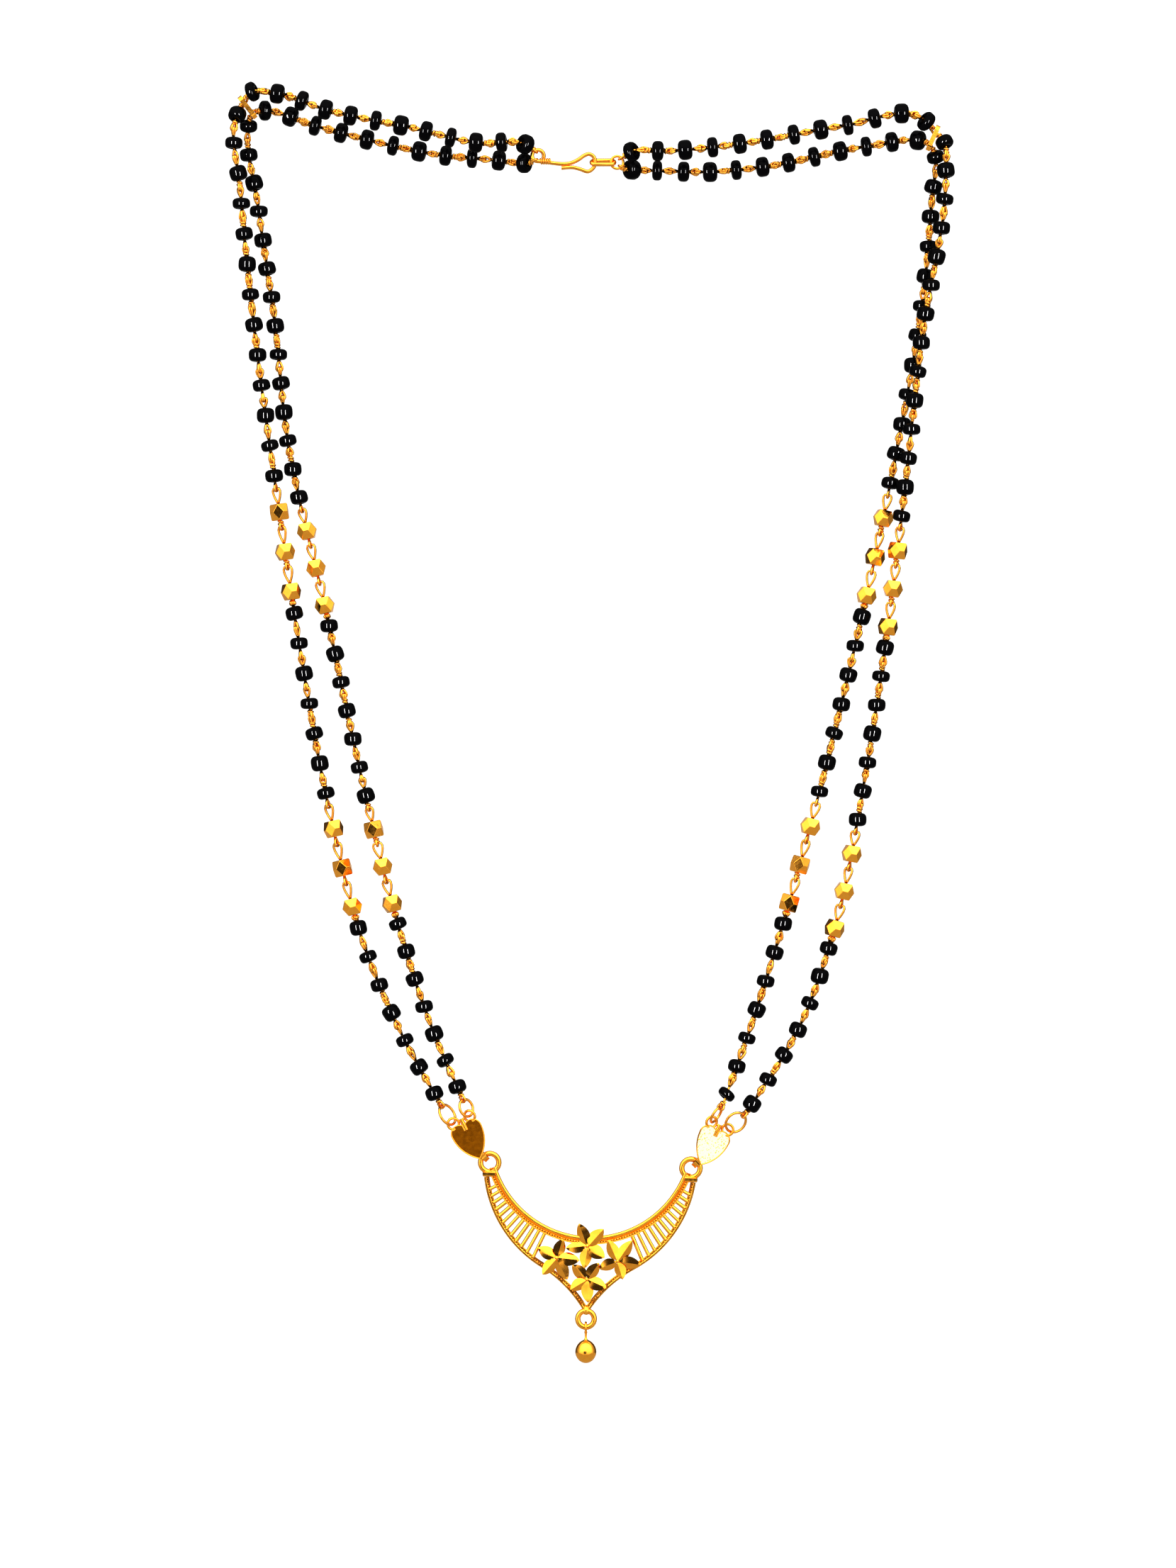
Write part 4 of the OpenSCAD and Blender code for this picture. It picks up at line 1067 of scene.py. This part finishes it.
# %% Both hearts
RIM_R = 0.11
rims = Shape()
for side, name, face_finish in ((-1, "heart_left", SHADED_HEART_GOLD), (1, "heart_right", SHEEN_PAINTED_FROST_GOLD)):
    heart = welded_copy("plate_and_loops_" + name, [name], GOLD, 0.1, 0.5, 50.0, 32.0)
    t = radians(HEART_TURNS[side])
    face_way = swung((sin(t), -cos(t), 0.0), side * HEART_LEAN)
    middle = heart_point(side, 0, LOOP_FRONT, HEART_TIP / 2) + HEART_T / 2 * face_way
    front = front_faces(heart.data, middle, face_way)
    print(name, "front faces:", len(front))
    heart.data.materials.append(face_finish)
    for face in front:
        face.material_index, face.use_smooth = 1, False
    rims.sweep(edge_loop(heart.data, front), disc(RIM_R, 8), face_way, closed=True)
    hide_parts(name)
    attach(heart, "necklace")
rims.piece("heart_rims", GOLD, "necklace", ["heart_left", "heart_right"])

# %% [markdown]
# ## Hook clasp
# The hook is one wire: an eye that the left strands hang in, a shank, a pear-shaped bow
# and an open tip. Its tail is wound round the shank. A round section swept along the bends
# gives the hook, and along a spiral the winding.

# %% Hook
CLASP_WIRE_MORE = 0.08
EYE_STEPS, WINDING_STEPS, WINDING_TURNS, WINDING_L, WINDING_WIRE_R = 24, 60, 4.5, 1.7, 0.17
hook = Shape()
eye = [hook_eye_wire(-90 - HOOK_EYE_SWEEP * (1 - i / EYE_STEPS)) for i in range(EYE_STEPS)]
bends = smooth_line(HOOK_ROUTE, 0, len(HOOK_ROUTE) - 1, 0.35)
hook.sweep(eye + list(bends), disc(HOOK_WIRE_R + CLASP_WIRE_MORE, 12))
winding = []
for t in np.linspace(0, 1, WINDING_STEPS + 1):
    a = 2 * pi * WINDING_TURNS * t
    r = HOOK_WIRE_R + 0.15
    winding.append(HOOK_ROUTE[0] + np.array([0.35 + WINDING_L * t, r * cos(a), r * sin(a)]))
hook.sweep(winding, disc(WINDING_WIRE_R, 8), RIGHT)
hook.piece("hook_and_winding", WIRE_GOLD, "necklace", ["clasp_hook"], 50.0)

# %% Oval link
LINK_END_R, LINK_TURN = 0.64, radians(38)
link = Shape()
straight = (LINK_L - 2 * LINK_WIRE_R) / 2 - LINK_END_R
oval = []
for i in range(32):
    a = 2 * pi * i / 32
    x = math.copysign(straight, cos(a)) + LINK_END_R * cos(a)
    v = LINK_END_R * sin(a)
    oval.append((LINK_LEFT + LINK_RIGHT) / 2 + np.array([x, v * cos(LINK_TURN), v * sin(LINK_TURN)]))
link.sweep(oval, disc(LINK_WIRE_R + CLASP_WIRE_MORE, 12), closed=True)
link.piece("oval_link", WIRE_GOLD, "necklace", ["clasp_link"], 50.0)

# %% [markdown]
# ## Rings that keep their solids
# The clasp ring, the tie rings and the jump rings already have the right round shape, so
# they only get the gold finish in their slots.

# %% Finishes on the carried-over solids
shown = [n for n in frame["nodes"] if n.startswith(("clasp_ring", "tie_ring", "jump_ring"))]
for name in shown:
    for slot in frame["nodes"][name].material_slots:
        slot.material = WIRE_GOLD if "jump" in name else GOLD
print("solids shown as they are:", shown)

# %% [markdown]
# ## Studio
# Polished metal shows its room more than its colour. The photograph's metal has bright
# sides with a dark middle, which is a white tent with an opening near the camera. So the
# world is white except around that opening, and brighter to the front and overhead. Two
# upright lights light the glass alone, because in thin wire they would wash the gold out.

# %% World
TOWARDS_HOLE = (-0.16, -0.983, -0.08)
world = bpy.data.worlds.new("white_tent")
bpy.context.scene.world = world
world.use_nodes = True
wt = world.node_tree
wt.nodes.clear()
view_way = add(wt, "ShaderNodeTexCoord").outputs["Generated"]
way = split(view_way)
to_hole = add(wt, "ShaderNodeVectorMath", {0: view_way, 1: TOWARDS_HOLE}, operation="DOT_PRODUCT")
hole = ramp(to_hole.outputs["Value"], 0.94, 0.98, 1.0, 0.05, smooth=True)
round_about = ramp(times(way["Y"], -1.0), -0.25, 0.6, 0.6, 2.4, smooth=True)
low = ramp(way["Z"], -0.6, 0.6, 0.35, 1.15)
overhead = ramp(way["Z"], 0.35, 0.85, 0.0, 0.6, smooth=True)
WHITE = (1.0, 1.0, 1.0, 1.0)
bright = plus(times(times(hole, round_about), low), overhead)
tent, plain = (add(wt, "ShaderNodeBackground", {"Strength": strength, "Color": WHITE})
               for strength in (bright, 1.0))
seen = add(wt, "ShaderNodeLightPath").outputs["Is Camera Ray"]
mixed = add(wt, "ShaderNodeMixShader", {0: seen, 1: tent, 2: plain})
add(wt, "ShaderNodeOutputWorld", {"Surface": mixed})

# %% Soft boxes for the glass
BOX_W, BOX_H, BOX_WATTS = 0.15, 0.9, 260.0
BOX_FAR, BOX_Z = 1.6, -0.08
for name, azimuth in (("soft_box_left", -29.0), ("soft_box_right", 24.0)):
    data = bpy.data.lights.new(name, "AREA")
    data.shape = "RECTANGLE"
    data.size, data.size_y, data.energy = BOX_W, BOX_H, BOX_WATTS
    lamp = linked(name, data)
    a = radians(azimuth)
    lamp.location = (BOX_FAR * sin(a), -BOX_FAR * cos(a), BOX_Z)
    lamp.rotation_euler = (radians(90), 0.0, a)
    lamp.visible_camera = False
    lamp.light_linking.receiver_collection = glass_pieces

# %% [markdown]
# ## Floor and backdrop
# One pale sheet rises from the floor to the wall. To the camera it is evenly white, but
# to the metal it is a dark sheet that glows as painted light: a pool behind the necklace and
# a glow on the floor, which gives the gold its dark outlines.

# %% Sheet
FLOOR_Z, WALL_Y, SWEEP_R = -0.75, 1.75, 0.5
outline = [(-1.2, FLOOR_Z)] + [
    (WALL_Y - SWEEP_R + SWEEP_R * sin(a), FLOOR_Z + SWEEP_R - SWEEP_R * cos(a))
    for a in np.linspace(0, pi / 2, 17)] + [(WALL_Y, 2.4)]
points = [(x, y, z) for y, z in outline for x in (-3.0, 3.0)]
faces = [[2 * i, 2 * i + 1, 2 * i + 3, 2 * i + 2] for i in range(len(outline) - 1)]
sheet = bpy.data.meshes.new("backdrop")
sheet.from_pydata(points, [], faces)
sheet.shade_smooth()
backdrop = linked("backdrop", sheet)

# %% Paper that looks even and glows unevenly as painted light
paper, tree, shader = new_finish("backdrop_paper", 0.0)
place = object_place(tree)
tone = ramp(noise(place, 60.0, 3.0), 0.0, 1.0, 0.76, 0.8)
seen = add(tree, "ShaderNodeLightPath").outputs["Is Camera Ray"]
# Painted light: to rays other than the camera's the sheet glows in a pool behind the necklace and near the
# floor, and its base colour is darker.
off = add(tree, "ShaderNodeVectorMath", {0: place, 1: (0.0, WALL_Y, -0.1)}, operation="DISTANCE")
painted_glow_pool = ramp(off.outputs["Value"], 0.55, 1.1, 0.7, 0.06, smooth=True)
floor_light = ramp(split(place)["Z"], -0.72, -0.5, 0.6, 0.0)
unseen = times(minus(1.0, seen), calc("MAXIMUM", painted_glow_pool, floor_light))
feed(shader, {
    "Base Color": times(tone, plus(0.05, times(seen, 0.1))), "Roughness": 0.9,
    "Specular IOR Level": 0.0, "Emission Color": WHITE,
    "Emission Strength": plus(unseen, times(seen, 0.97))})
sheet.materials.append(paper)

# %% [markdown]
# ## Camera
# The photograph looks straight at the hanging necklace from far enough to show no
# perspective. A long lens at the matching distance frames it the same way.

# %% Camera
PHOTO_W, PHOTO_H, PIXEL = 1659, 2212, 0.12 * MM
ORIGIN_X, ORIGIN_Y = 830, 244
LENS, SENSOR = 120.0, 36.0
height = PHOTO_H * PIXEL
middle_x = (PHOTO_W / 2 - ORIGIN_X) * PIXEL
middle_z = (ORIGIN_Y - PHOTO_H / 2) * PIXEL
camera_data = bpy.data.cameras.new("camera")
camera_data.lens, camera_data.sensor_width = LENS, SENSOR
camera_data.clip_start, camera_data.clip_end = 0.01, 20.0
camera = linked("camera", camera_data)
camera.location = (middle_x, -LENS / SENSOR * height, middle_z)
camera.rotation_euler = (radians(90), 0.0, 0.0)
bpy.context.scene.camera = camera
bpy.context.scene.view_settings.view_transform = "Standard"
bpy.context.scene.view_settings.gamma = 0.75
print("camera at", [round(v, 4) for v in camera.location])
